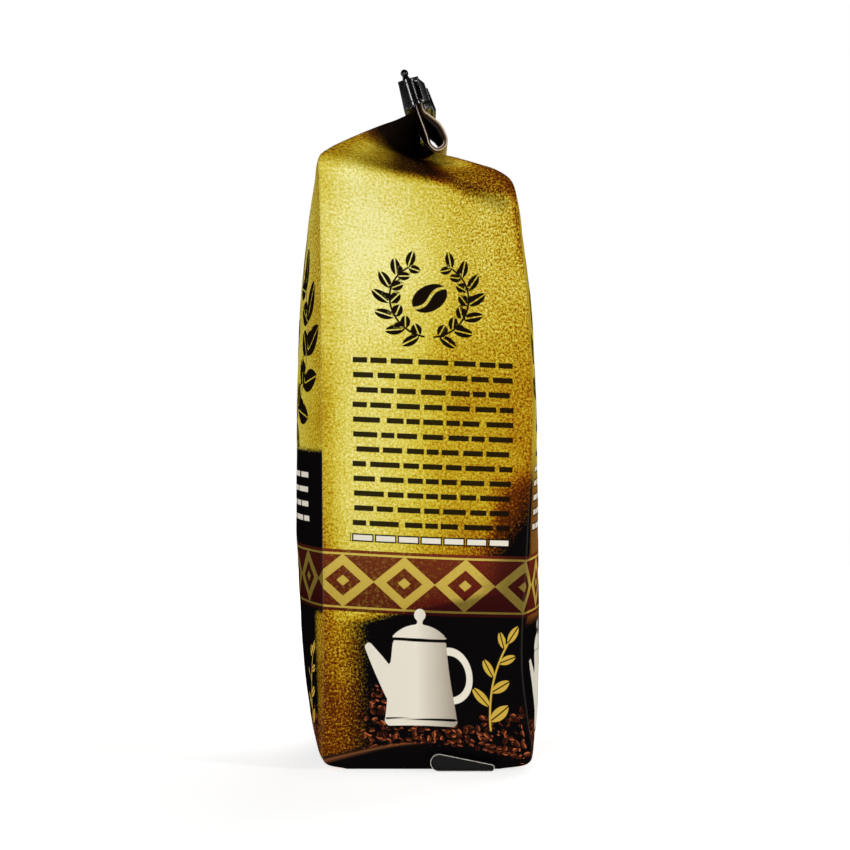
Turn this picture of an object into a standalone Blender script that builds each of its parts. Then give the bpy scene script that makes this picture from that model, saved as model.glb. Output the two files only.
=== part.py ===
"""A full side-gusset coffee bag, shut: its top is folded over, rolled and held by a hinged bar clip.

Frame: +Z up, the front panel faces -Y, the two gussets face +X and -X. The origin is on the surface that
the bag stands on, in the middle of the whole object's box. Units are metres.
"""

import math
from collections import namedtuple

import bmesh
import bpy
from mathutils import Euler, Matrix, Vector

MM = 0.001

# ---- Driving dimensions of the bag ----------------------------------------------------------------
PANEL_WIDTH = 83.0 * MM  # front and back panel, crease to crease
HALF = PANEL_WIDTH / 2
MOUTH_FILM = 0.8 * MM  # the flattened mouth: front film, two gusset folds and back film
PANEL_FACES = 6  # across half a panel
GUSSET_FACES = 12
BODY_STEPS = 3  # loft sections between two stations
MOUTH_STEPS = 2

# ---- Driving dimensions of the clip ---------------------------------------------------------------
CLIP_CENTRE = Vector((0.0, -0.2 * MM, 205.5 * MM))
CLIP_LEAN = math.radians(17)  # the clip's top leans towards the front panel
CLIP_HALF_LENGTH = 54.3 * MM
FRONT_ARM_OUT, FRONT_ARM_IN = -4.3 * MM, -2.4 * MM
FRONT_ARM_TAPER = 1.0 * MM  # how much thinner the arm is at its latch end
BACK_ARM_IN, BACK_ARM_OUT = 1.2 * MM, 4.5 * MM
ARM_TOP, FRONT_ARM_FOOT, BACK_ARM_FOOT = 5.1 * MM, -3.2 * MM, -4.5 * MM
GAP = 0.3 * MM  # between pieces that touch
BARREL_RADIUS = 2.75 * MM
BARREL_ACROSS = -1.6 * MM
BARREL_X = CLIP_HALF_LENGTH - BARREL_RADIUS
RING_FOOT, RING_TOP = -2.7 * MM, 5.3 * MM  # the ends of the hinge's two outer rings
RING_HEIGHT = 0.95 * MM
KNUCKLE_FOOT, KNUCKLE_TOP = RING_FOOT + RING_HEIGHT + GAP, RING_TOP - RING_HEIGHT - GAP
TIE_INSET = 0.06 * MM  # how much thinner than a ring its tie to the plate is
PLATE_IN = BARREL_ACROSS + BARREL_RADIUS + GAP  # the plate that carries the rings, behind the knuckle
PIN_RADIUS = 1.0 * MM
PIN_FOOT = -3.2 * MM
KNOB_RADIUS = 1.15 * MM
KNOB_TOP = 8.5 * MM

# ---- Driving dimensions of the folded bottom seal -------------------------------------------------
SEAL_HALF_LENGTH = 43.4 * MM
SEAL_FRONT, SEAL_BACK = 3.9 * MM, 23.6 * MM
SEAL_FRONT_RADIUS, SEAL_BACK_RADIUS = 2.7 * MM, 1.1 * MM
SEAL_FOOT = 0.1 * MM

# A station says where the film stands at one level: the (y, z) of the front and back creases, the (x, y, z) of
# the gusset's middle, how far the middles of the front and back panels stand out, and the half width.
Station = namedtuple("Station", "front back side bulge half")

STATIONS = [
    Station((-22.0, 0.0), (25.5, 0.0), (37.0, 1.0, 0.0), (1.8, 1.4), 37.0),  # sole
    Station((-28.0, 2.0), (33.8, 2.0), (42.6, 2.0, 7.2), (2.4, 1.4), 40.6),  # heel: the gusset's lower fold
    Station((-29.2, 6.4), (35.2, 7.0), (43.5, 2.5, 10.4), (3.4, 1.8), 41.3),
    Station((-28.9, 16.0), (33.8, 16.0), (44.4, 2.5, 18.0), (5.7, 4.4), 41.5),
    Station((-28.7, 36.0), (31.9, 36.0), (45.6, 2.0, 36.0), (8.0, 6.6), 41.5),
    Station((-28.9, 70.0), (33.6, 70.0), (46.4, 2.5, 70.0), (9.6, 4.8), 41.5),  # belly
    Station((-29.1, 106.0), (35.2, 106.0), (46.2, 3.0, 106.0), (9.6, 2.4), 41.5),
    Station((-29.4, 140.0), (33.9, 140.0), (45.4, 3.2, 140.0), (8.0, 2.4), 41.5),
    Station((-29.7, 166.0), (31.6, 163.0), (44.6, 3.6, 161.0), (5.4, 1.8), 41.5),
    Station((-30.1, 181.0), (30.6, 173.0), (43.8, 3.8, 171.5), (2.7, 1.2), 41.5),
    Station((-30.1, 187.4), (28.9, 180.0), (43.2, 3.6, 178.5), (1.2, 0.6), 41.5),  # shoulders
    Station((-26.8, 190.4), (24.4, 183.6), (42.0, 3.0, 182.6), (0.3, 0.3), 41.5),
    Station((-21.3, 193.1), (18.5, 185.6), (37.0, 2.2, 186.0), (0.0, 0.0), 41.5),  # the gusset turns in
    Station((-15.2, 195.7), (12.6, 187.3), (23.0, 1.2, 188.0), (0.0, 0.0), 41.5),
    Station((-10.6, 197.5), (8.2, 188.3), (14.0, 0.6, 189.2), (0.0, 0.0), 41.5),
    Station((-7.1, 198.7), (4.8, 189.3), (10.5, 0.3, 191.2), (0.0, 0.0), 41.5),
    Station((-4.1, 200.0), (1.0, 193.0), (9.0, 0.3, 194.8), (0.0, 0.0), 41.5),  # neck
]

# The centre line of the flattened mouth. Inside the clip its points are (across, up) in the clip's own frame.
MOUTH_UP = [(-1.7, -3.6), (-1.7, 0.0), (-1.7, 3.0), (-1.15, 3.55), (-0.6, 3.0), (-0.6, -0.5), (-0.6, -4.0)]
# The flap hangs down behind the clip and turns up again in a loop: (y, z) points.
MOUTH_LOOP = [(2.9, 194.8), (3.9, 191.6), (6.0, 190.0), (8.1, 191.1), (8.5, 193.4), (6.6, 197.2), (3.6, 199.8)]
MOUTH_END = [(0.5, -4.4), (0.5, -1.0), (0.5, 2.2)]


def clear_scene():
    for obj in list(bpy.data.objects):
        bpy.data.objects.remove(obj, do_unlink=True)


def collection(name):
    made = bpy.data.collections.new(name)
    bpy.context.scene.collection.children.link(made)
    return made


def finish(name, colour, roughness):
    """A Principled material of one colour."""
    made = bpy.data.materials.new(name)
    made.use_nodes = True
    shader = made.node_tree.nodes["Principled BSDF"]
    shader.inputs["Base Color"].default_value = (*colour, 1)
    shader.inputs["Roughness"].default_value = roughness
    return made


def clip_matrix():
    """The clip's own frame: X along the arms, Y across the mouth towards the back, Z up the arms."""
    return Matrix.Translation(CLIP_CENTRE) @ Euler((CLIP_LEAN, 0, 0)).to_matrix().to_4x4()


def in_clip(across, up):
    """The (y, z) of a point that is given in the clip's own frame."""
    place = clip_matrix() @ Vector((0, across, up))
    return place.y, place.z


def through(points, steps):
    """A smooth Catmull-Rom line through rows of numbers, with steps sections between two of them."""
    rows = [Vector(p) for p in points]
    ends = [2 * rows[0] - rows[1], *rows, 2 * rows[-1] - rows[-2]]
    line = []
    for before, start, stop, after in zip(ends, ends[1:], ends[2:], ends[3:]):
        for i in range(steps):
            t = i / steps
            line.append(
                0.5
                * (
                    2 * start
                    + (stop - before) * t
                    + (2 * before - 5 * start + 4 * stop - after) * t**2
                    + (3 * start - before - 3 * stop + after) * t**3
                )
            )
    return [*line, rows[-1]]


def body_stations():
    """Stations from the sole to the neck, smoothed and in metres."""
    rows = [(*s.front, *s.back, *s.side, *s.bulge, s.half) for s in STATIONS]
    smooth = (row * MM for row in through(rows, BODY_STEPS))
    return [Station(r[0:2], r[2:4], r[4:7], r[7:9], r[9]) for r in smooth]


def mouth_stations():
    """Stations along the folded and rolled mouth. The film's front side is on the left of its way."""
    points = [in_clip(a * MM, u * MM) for a, u in MOUTH_UP]
    points += [(y * MM, z * MM) for y, z in MOUTH_LOOP]
    points += [in_clip(a * MM, u * MM) for a, u in MOUTH_END]
    line = through(points, MOUTH_STEPS)
    stations = []
    for i, point in enumerate(line):
        way = (line[min(i + 1, len(line) - 1)] - line[max(i - 1, 0)]).normalized()
        left = Vector((-way.y, way.x)) * MOUTH_FILM / 2
        front, back = point + left, point - left
        stations.append(Station(front, back, (HALF, *point), (0, 0), HALF))
    return stations


def smooth_step(low, high, value):
    """Rises smoothly from 0 at low to 1 at high."""
    t = min(max((value - low) / (high - low), 0), 1)
    return t * t * (3 - 2 * t)


def gusset_profile(share, depth):
    """How much of the middle's reach a point of the gusset has in X, Y and Z.

    A full gusset is rounded. Where its middle lies deep inside the bag it is a valley with straight walls, and
    between the two the film stays out near the creases, drops early and plunges late.
    """
    rounded = math.sin(math.pi * share)
    valley = 1 - abs(2 * share - 1)
    plunge = valley ** (1 + smooth_step(-24 * MM, -6 * MM, -depth))
    drop = 1 - (1 - valley) ** (1 + 1.4 * smooth_step(-30 * MM, -14 * MM, -depth))
    inwards = smooth_step(-1 * MM, 3 * MM, depth)
    return Vector([rounded + inwards * (way - rounded) for way in (plunge, valley, drop)])


def half_section(station):
    """The +X half of the film's outline at one station, from mid front to mid back."""
    points = []
    for i in range(PANEL_FACES):
        share = i / PANEL_FACES
        y = station.front[0] - station.bulge[0] * (1 - share**2)
        points.append(Vector((station.half * share, y, station.front[1])))
    front = Vector((station.half, *station.front))
    back = Vector((station.half, *station.back))
    reach = Vector(station.side) - (front + back) / 2
    for i in range(GUSSET_FACES + 1):
        share = i / GUSSET_FACES
        points.append(front.lerp(back, share) + reach * gusset_profile(share, -reach.x))
    for i in range(PANEL_FACES):
        share = (PANEL_FACES - 1 - i) / PANEL_FACES
        y = station.back[0] + station.bulge[1] * (1 - share**2)
        points.append(Vector((station.half * share, y, station.back[1])))
    return points


def link(mesh, name, material, group):
    obj = bpy.data.objects.new(name, mesh)
    mesh.materials.append(material)
    group.objects.link(obj)
    return obj


def bag_half():
    """The +X half of the bag as a loft through its stations, capped at the sole and at the mouth's end."""
    sections = [half_section(s) for s in body_stations() + mouth_stations()]
    build = bmesh.new()
    rings = [[build.verts.new(p) for p in section] for section in sections]
    for low, high in zip(rings, rings[1:]):
        for i in range(len(low) - 1):
            build.faces.new((low[i], low[i + 1], high[i + 1], high[i]))
    build.faces.new(list(reversed(rings[0])))
    build.faces.new(rings[-1])
    mesh = bpy.data.meshes.new("bag")
    build.to_mesh(mesh)
    build.free()
    return mesh


def boolean(obj, other, operation):
    modifier = obj.modifiers.new(operation.lower(), "BOOLEAN")
    modifier.operation = operation
    modifier.object = other


def helper(obj, name, group):
    """Keeps a piece that only joins or cuts another out of the model."""
    for old in obj.users_collection:
        old.objects.unlink(obj)
    group.objects.link(obj)
    obj.name = name
    obj.hide_render = True
    obj.display_type = "WIRE"
    return obj


def block(low, high, bevel, segments=3):
    """A box between two corners with rounded edges."""
    low, high = Vector(low), Vector(high)
    bpy.ops.mesh.primitive_cube_add(size=1, location=(low + high) / 2)
    obj = bpy.context.active_object
    obj.data.transform(Matrix.Diagonal((*(high - low), 1)))
    rounding = obj.modifiers.new("rounding", "BEVEL")
    rounding.width = bevel
    rounding.segments = segments
    return obj


def cylinder(radius, low, high, x, across, sides=24):
    """A cylinder along the clip's own Z."""
    bpy.ops.mesh.primitive_cylinder_add(
        vertices=sides, radius=radius, depth=high - low, location=(x, across, (low + high) / 2)
    )
    return bpy.context.active_object


def place_in_clip(obj):
    """Puts a piece that was made in the clip's own frame where the clip sits."""
    bpy.context.view_layer.update()
    obj.matrix_world = clip_matrix() @ obj.matrix_world


def adopt(obj, name, material, group):
    """Names a piece and moves it to the model's collection."""
    for old in obj.users_collection:
        old.objects.unlink(obj)
    group.objects.link(obj)
    obj.name = name
    obj.data.materials.append(material)
    return obj


def prism(name, outline, left, right, bevel):
    """A bar along X with the given (y, z) outline and rounded edges."""
    build = bmesh.new()
    ring = [build.verts.new((left, y, z)) for y, z in outline]
    side = build.faces.new(ring)
    moved = bmesh.ops.extrude_face_region(build, geom=[side])["geom"]
    verts = [v for v in moved if isinstance(v, bmesh.types.BMVert)]
    bmesh.ops.translate(build, verts=verts, vec=(right - left, 0, 0))
    bmesh.ops.recalc_face_normals(build, faces=build.faces)
    mesh = bpy.data.meshes.new(name)
    build.to_mesh(mesh)
    build.free()
    obj = bpy.data.objects.new(name, mesh)
    bpy.context.scene.collection.objects.link(obj)
    rounding = obj.modifiers.new("rounding", "BEVEL")
    rounding.width = bevel
    rounding.segments = 2
    return obj


def arc(centre, radius, start, stop, steps):
    """Points round a centre, from one angle in degrees to another."""
    angles = [math.radians(start + (stop - start) * i / steps) for i in range(steps + 1)]
    return [(centre[0] + radius * math.cos(a), centre[1] + radius * math.sin(a)) for a in angles]


def bottom_seal():
    """The bottom seal, folded flat towards the back: its rounded ends stand out at the gussets."""
    fold = (SEAL_FRONT + SEAL_FRONT_RADIUS, SEAL_FOOT + SEAL_FRONT_RADIUS)
    edge = (SEAL_BACK - SEAL_BACK_RADIUS, SEAL_FOOT + SEAL_BACK_RADIUS)
    outline = arc(fold, SEAL_FRONT_RADIUS, 80, 270, 8) + arc(edge, SEAL_BACK_RADIUS, -90, 80, 5)
    return prism("bottom_seal", outline, -SEAL_HALF_LENGTH, SEAL_HALF_LENGTH, 0.4 * MM)


def make_bag(film, parts, helpers):
    bag = link(bag_half(), "bag", film, parts)
    mirror = bag.modifiers.new("other half", "MIRROR")
    mirror.merge_threshold = 1e-5
    boolean(bag, helper(bottom_seal(), "bottom_seal", helpers), "UNION")
    bag.data.shade_smooth()
    bag.data.set_sharp_from_angle(angle=math.radians(35))
    return bag


def hinge_round(foot, top, radius=BARREL_RADIUS):
    """A round of the hinge on the pin's axis."""
    return cylinder(radius, foot, top, BARREL_X, BARREL_ACROSS)


def pin_bore():
    return hinge_round(-10 * MM, 10 * MM, PIN_RADIUS + GAP)


def make_front_arm(plastic, parts, helpers):
    """The thin arm on the front side, with the hinge's middle knuckle at +X."""
    arm_end = BARREL_X - BARREL_RADIUS - GAP
    arm = block(
        (-CLIP_HALF_LENGTH + 2.6 * MM, FRONT_ARM_OUT, FRONT_ARM_FOOT),
        (arm_end, FRONT_ARM_IN, ARM_TOP),
        0.7 * MM,
    )
    for vertex in arm.data.vertices:
        if vertex.co.x < 0 and vertex.co.y < 0:
            vertex.co.y += FRONT_ARM_TAPER
    adopt(arm, "clip_front_arm", plastic, parts)
    neck = block(
        (arm_end - 1.5 * MM, FRONT_ARM_OUT, KNUCKLE_FOOT),
        (BARREL_X, FRONT_ARM_IN, KNUCKLE_TOP),
        0.2 * MM,
    )
    knuckle = hinge_round(KNUCKLE_FOOT, KNUCKLE_TOP)
    bore = pin_bore()
    for obj in (arm, neck, knuckle, bore):
        place_in_clip(obj)
    for name, obj in (("knuckle_neck", neck), ("hinge_knuckle", knuckle)):
        boolean(arm, helper(obj, name, helpers), "UNION")
    boolean(arm, helper(bore, "knuckle_bore", helpers), "DIFFERENCE")
    return arm


def back_arm_outline():
    """The back arm's section as (across, up): a web with a sloping top, and a flange that hangs over its foot."""
    web_out = 3.1 * MM
    web_top, slope_foot = 4.6 * MM, 2.7 * MM
    flange_in, flange_top, flange_foot = 3.4 * MM, 1.6 * MM, -5.7 * MM
    return [
        (BACK_ARM_IN, BACK_ARM_FOOT),
        (flange_in - 0.2 * MM, BACK_ARM_FOOT),
        (flange_in, flange_foot),
        (BACK_ARM_OUT, flange_foot),
        (BACK_ARM_OUT - 0.6 * MM, flange_top),
        (web_out, flange_top),
        (web_out, slope_foot),
        (BACK_ARM_IN, web_top),
    ]


def ring_plate():
    """The plate behind the knuckle, which ties the two rings to the back arm."""
    out, slope_foot = 3.25 * MM, 2.6 * MM
    foot, top = RING_FOOT + 0.13 * MM, RING_TOP - 0.11 * MM
    outline = [(PLATE_IN, foot), (out, foot), (out, slope_foot), (PLATE_IN, top)]
    return prism("ring_plate", outline, BARREL_X - 6 * MM, BARREL_X + 2.2 * MM, 0.15 * MM)


def make_back_arm(plastic, parts, helpers):
    """The stiff arm on the back side, with the hinge's two rings at +X and a hook round the front arm's end."""
    right = BARREL_X - BARREL_RADIUS - GAP - 1 * MM
    arm = prism("back_arm", back_arm_outline(), -CLIP_HALF_LENGTH, right, 0.3 * MM)
    adopt(arm, "clip_back_arm", plastic, parts)
    joined = [("ring_plate", ring_plate())]
    for name, foot in (("lower", RING_FOOT), ("upper", RING_TOP - RING_HEIGHT)):
        top = foot + RING_HEIGHT
        joined.append((name + "_ring", hinge_round(foot, top)))
        tie = block(
            (BARREL_X - 2.1 * MM, BARREL_ACROSS, foot + TIE_INSET),
            (BARREL_X + 2.1 * MM, PLATE_IN + 0.5 * MM, top - TIE_INSET),
            0.07 * MM,
            1,
        )
        joined.append((name + "_tie", tie))
    hook = block(
        (-CLIP_HALF_LENGTH, FRONT_ARM_OUT - 1.1 * MM, -2.2 * MM),
        (-CLIP_HALF_LENGTH + 2.3 * MM, BACK_ARM_IN + 1 * MM, 1.4 * MM),
        0.5 * MM,
    )
    joined.append(("latch_hook", hook))
    bore = pin_bore()
    for obj in (arm, bore, *(obj for _, obj in joined)):
        place_in_clip(obj)
    for name, obj in joined:
        boolean(arm, helper(obj, name, helpers), "UNION")
    boolean(arm, helper(bore, "ring_bore", helpers), "DIFFERENCE")
    return arm


def make_pin(plastic, parts):
    """The hinge pin: a shaft through the rings and the knuckle, under a waisted knob."""
    neck = RING_TOP + GAP
    crown = [math.radians(90 * i / 4) for i in range(5)]
    middle = KNOB_TOP - KNOB_RADIUS
    waist, waist_up = 0.8 * MM, neck + 0.9 * MM
    profile = [(KNOB_RADIUS * math.sin(a), middle + KNOB_RADIUS * math.cos(a)) for a in crown]
    profile += [(waist, waist_up), (KNOB_RADIUS, neck), (PIN_RADIUS, neck), (PIN_RADIUS, PIN_FOOT), (0, PIN_FOOT)]
    mesh = bpy.data.meshes.new("clip_pin")
    points = [(r, 0, z) for r, z in profile]
    mesh.from_pydata(points, [(i, i + 1) for i in range(len(points) - 1)], [])
    pin = link(mesh, "clip_pin", plastic, parts)
    turn = pin.modifiers.new("turn", "SCREW")
    turn.steps = turn.render_steps = 20
    turn.use_merge_vertices = True
    turn.merge_threshold = 1e-5
    pin.location = (BARREL_X, BARREL_ACROSS, 0)
    place_in_clip(pin)
    return pin


def main():
    clear_scene()
    parts, helpers = collection("coffee_bag"), collection("helpers")
    film = finish("printed film", (0.55, 0.42, 0.10), 0.42)
    plastic = finish("black polypropylene", (0.012, 0.012, 0.013), 0.22)
    make_bag(film, parts, helpers)
    make_front_arm(plastic, parts, helpers)
    make_back_arm(plastic, parts, helpers)
    make_pin(plastic, parts)


main()
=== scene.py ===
"""The looks of a shut side-gusset coffee bag: its printed film, its folded bottom seal and the clip on its mouth.

The film is one fine skin, lofted through the same stations as its solid. Its print is generic: a speckled gold
ground, a wreath round a bean, plain bars where words would stand, a woven band, a cream pot, a gold sprig and
beans.
"""

from __future__ import annotations

import logging
import math
from dataclasses import dataclass
from enum import Enum
from typing import Any

import bmesh
import bpy
import numpy as np
from mathutils import Euler, Matrix, Vector, noise


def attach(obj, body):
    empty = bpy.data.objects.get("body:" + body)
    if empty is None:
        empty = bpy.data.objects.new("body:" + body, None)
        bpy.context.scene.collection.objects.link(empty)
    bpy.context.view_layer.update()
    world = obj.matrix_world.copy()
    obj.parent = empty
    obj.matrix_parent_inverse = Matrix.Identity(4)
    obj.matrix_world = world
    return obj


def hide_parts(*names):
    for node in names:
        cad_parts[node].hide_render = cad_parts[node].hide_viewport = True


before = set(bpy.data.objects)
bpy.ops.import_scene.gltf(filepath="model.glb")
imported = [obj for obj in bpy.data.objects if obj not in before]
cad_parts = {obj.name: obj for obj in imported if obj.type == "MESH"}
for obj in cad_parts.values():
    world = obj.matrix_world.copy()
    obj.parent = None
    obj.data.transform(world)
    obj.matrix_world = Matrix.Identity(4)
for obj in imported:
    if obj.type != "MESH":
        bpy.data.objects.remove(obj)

MM = 0.001
LOG = logging.getLogger("coffee_bag")
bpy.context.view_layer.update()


# ---- Small helpers --------------------------------------------------------------------------------


def linear(colour: str) -> tuple[float, float, float, float]:
    """Turns an sRGB hex colour to linear light.

    Args:
        colour: Six hex digits after a hash.

    Returns:
        Red, green, blue and an alpha of 1.
    """
    parts = [int(colour[i : i + 2], 16) / 255 for i in (1, 3, 5)]
    light = [p / 12.92 if p <= 0.04045 else ((p + 0.055) / 1.055) ** 2.4 for p in parts]
    return (*light, 1.0)


def add(tree: bpy.types.NodeTree, kind: str, values: dict[Any, Any] | None = None, **settings: Any) -> Any:
    """Adds a node with its settings and links.

    Args:
        tree: The tree that gets the node.
        kind: The node's type.
        values: For an input's name or number, a constant, a socket to link, or a node whose first output is linked.
        **settings: The node's own properties.

    Returns:
        The new node.
    """
    made = tree.nodes.new(kind)
    for name, setting in settings.items():
        setattr(made, name, setting)
    for key, value in (values or {}).items():
        if isinstance(value, bpy.types.Node):
            value = value.outputs[0]
        if isinstance(value, bpy.types.NodeSocket):
            tree.links.new(value, made.inputs[key])
        else:
            made.inputs[key].default_value = value
    return made


def new_material(name: str) -> tuple[bpy.types.Material, Any, Any]:
    """Makes a material with a bare Principled shader.

    Args:
        name: The material's name.

    Returns:
        The material, its node tree and its Principled node.
    """
    material = bpy.data.materials.new(name)
    material.use_nodes = True
    tree = material.node_tree
    return material, tree, tree.nodes["Principled BSDF"]


def place_piece(obj: bpy.types.Object, slot: str, *nodes: str) -> bpy.types.Object:
    """Lets a finished piece ride on the part, hides the solids that it stands for and logs them.

    Args:
        obj: The piece, with its place in its mesh.
        slot: The record's material slot; not used.
        *nodes: The solids that the piece replaces.

    Returns:
        The same piece.
    """
    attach(obj, "root")
    if nodes:
        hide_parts(*nodes)
    LOG.info("%s: %d faces, stands for %s", obj.name, len(obj.data.polygons), nodes or "nothing")
    return obj


def plain_copy(obj: bpy.types.Object, name: str) -> bpy.types.Object:
    """Turns an object with live modifiers and a placement into a plain mesh at the origin.

    Args:
        obj: The object, which is removed.
        name: The new object's name.

    Returns:
        An object whose place is in its mesh.
    """
    bpy.context.view_layer.update()
    seen = obj.evaluated_get(bpy.context.evaluated_depsgraph_get())
    mesh = bpy.data.meshes.new_from_object(seen)
    mesh.transform(obj.matrix_world)
    mesh.name = name
    bpy.data.objects.remove(obj, do_unlink=True)
    made = bpy.data.objects.new(name, mesh)
    bpy.context.scene.collection.objects.link(made)
    return made


def smooth_step(low: float, high: float, value: np.ndarray) -> np.ndarray:
    """Rises smoothly from 0 at low to 1 at high."""
    t = np.clip((value - low) / (high - low), 0, 1)
    return t * t * (3 - 2 * t)


# ---- The bag's form -------------------------------------------------------------------------------


class Panel(Enum):
    """The film's four panels, in their order round the bag."""

    FRONT = 0
    RIGHT = 1
    BACK = 2
    LEFT = 3


@dataclass(frozen=True)
class Station:
    """Where the film stands at one level, in millimetres.

    Attributes:
        front: The (y, z) of the front creases.
        back: The (y, z) of the back creases.
        side: The (x, y, z) of the gusset's middle.
        bulge: How far the middles of the front and the back panel stand out.
        half: Half the bag's width, crease to crease.
    """

    front: tuple[float, float]
    back: tuple[float, float]
    side: tuple[float, float, float]
    bulge: tuple[float, float]
    half: float

    def row(self) -> list[float]:
        """The station's numbers in one row."""
        return [*self.front, *self.back, *self.side, *self.bulge, self.half]


BODY = (
    Station((-22.0, 0.0), (25.5, 0.0), (37.0, 1.0, 0.0), (1.8, 1.4), 37.0),  # sole
    Station((-28.0, 2.0), (33.8, 2.0), (42.6, 2.0, 7.2), (2.4, 1.4), 40.6),  # heel: the gusset's lower fold
    Station((-29.2, 6.4), (35.2, 7.0), (43.5, 2.5, 10.4), (3.4, 1.8), 41.3),
    Station((-28.9, 16.0), (33.8, 16.0), (44.4, 2.5, 18.0), (5.7, 4.4), 41.5),
    Station((-28.7, 36.0), (31.9, 36.0), (45.6, 2.0, 36.0), (8.0, 6.6), 41.5),
    Station((-28.9, 70.0), (33.6, 70.0), (46.4, 2.5, 70.0), (9.6, 4.8), 41.5),  # belly
    Station((-29.1, 106.0), (35.2, 106.0), (46.2, 3.0, 106.0), (9.6, 2.4), 41.5),
    Station((-29.4, 140.0), (33.9, 140.0), (45.4, 3.2, 140.0), (8.0, 2.4), 41.5),
    Station((-29.7, 166.0), (31.6, 163.0), (44.6, 3.6, 161.0), (5.4, 1.8), 41.5),
    Station((-30.1, 181.0), (30.6, 173.0), (43.8, 3.8, 171.5), (2.7, 1.2), 41.5),
    Station((-30.1, 187.4), (28.9, 180.0), (43.2, 3.6, 178.5), (1.2, 0.6), 41.5),  # shoulders
    Station((-26.8, 190.4), (24.4, 183.6), (42.0, 3.0, 182.6), (0.3, 0.3), 41.5),
    Station((-21.3, 193.1), (18.5, 185.6), (37.0, 2.2, 186.0), (0.0, 0.0), 41.5),  # the gusset turns in
    Station((-15.2, 195.7), (12.6, 187.3), (23.0, 1.2, 188.0), (0.0, 0.0), 41.5),
    Station((-10.6, 197.5), (8.2, 188.3), (14.0, 0.6, 189.2), (0.0, 0.0), 41.5),
    Station((-7.1, 198.7), (4.8, 189.3), (10.5, 0.3, 191.2), (0.0, 0.0), 41.5),
    Station((-4.1, 200.0), (1.0, 193.0), (9.0, 0.3, 194.8), (0.0, 0.0), 41.5),  # neck
)


@dataclass(frozen=True)
class ClipFrame:
    """Where the clip sits: its X runs along the arms, its Y across the mouth and its Z up the arms."""

    centre: tuple[float, float, float] = (0.0, -0.2, 205.5)
    lean: float = math.radians(17)

    def matrix(self) -> Matrix:
        """The placement in metres."""
        turn = Euler((self.lean, 0, 0)).to_matrix().to_4x4()
        return Matrix.Translation(Vector(self.centre) * MM) @ turn

    def point(self, across: float, up: float) -> tuple[float, float]:
        """The (y, z) in millimetres of a point that is given across and up the clip."""
        y = self.centre[1] + across * math.cos(self.lean) - up * math.sin(self.lean)
        z = self.centre[2] + across * math.sin(self.lean) + up * math.cos(self.lean)
        return y, z


def through(rows: np.ndarray, pitch: float) -> np.ndarray:
    """A smooth Catmull-Rom line through rows of numbers.

    Args:
        rows: One row for each point.
        pitch: The widest step between two rows of the result.

    Returns:
        The rows of the line.
    """
    ends = np.vstack([2 * rows[0] - rows[1], rows, 2 * rows[-1] - rows[-2]])
    line = []
    for before, start, stop, after in zip(ends, ends[1:], ends[2:], ends[3:]):
        steps = max(2, math.ceil(np.abs(stop - start).max() / pitch))
        t = (np.arange(steps) / steps)[:, None]
        line.append(
            0.5
            * (
                2 * start
                + (stop - before) * t
                + (2 * before - 5 * start + 4 * stop - after) * t**2
                + (3 * start - before - 3 * stop + after) * t**3
            )
        )
    return np.vstack([*line, rows[-1:]])


@dataclass
class Skin:
    """The film's skin as a grid of rows up the bag and columns round it, in millimetres.

    Attributes:
        points: The (x, y, z) of each vertex, by row and column.
        height: How far up the printed web each vertex lies, by row and column.
        share: For each column, its place across its panel, from 0 to 1 as the panel reads.
        face: For each column, the number of its panel.
        below: The number of rows below the mouth.
    """

    points: np.ndarray
    height: np.ndarray
    share: np.ndarray
    face: np.ndarray
    below: int


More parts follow.
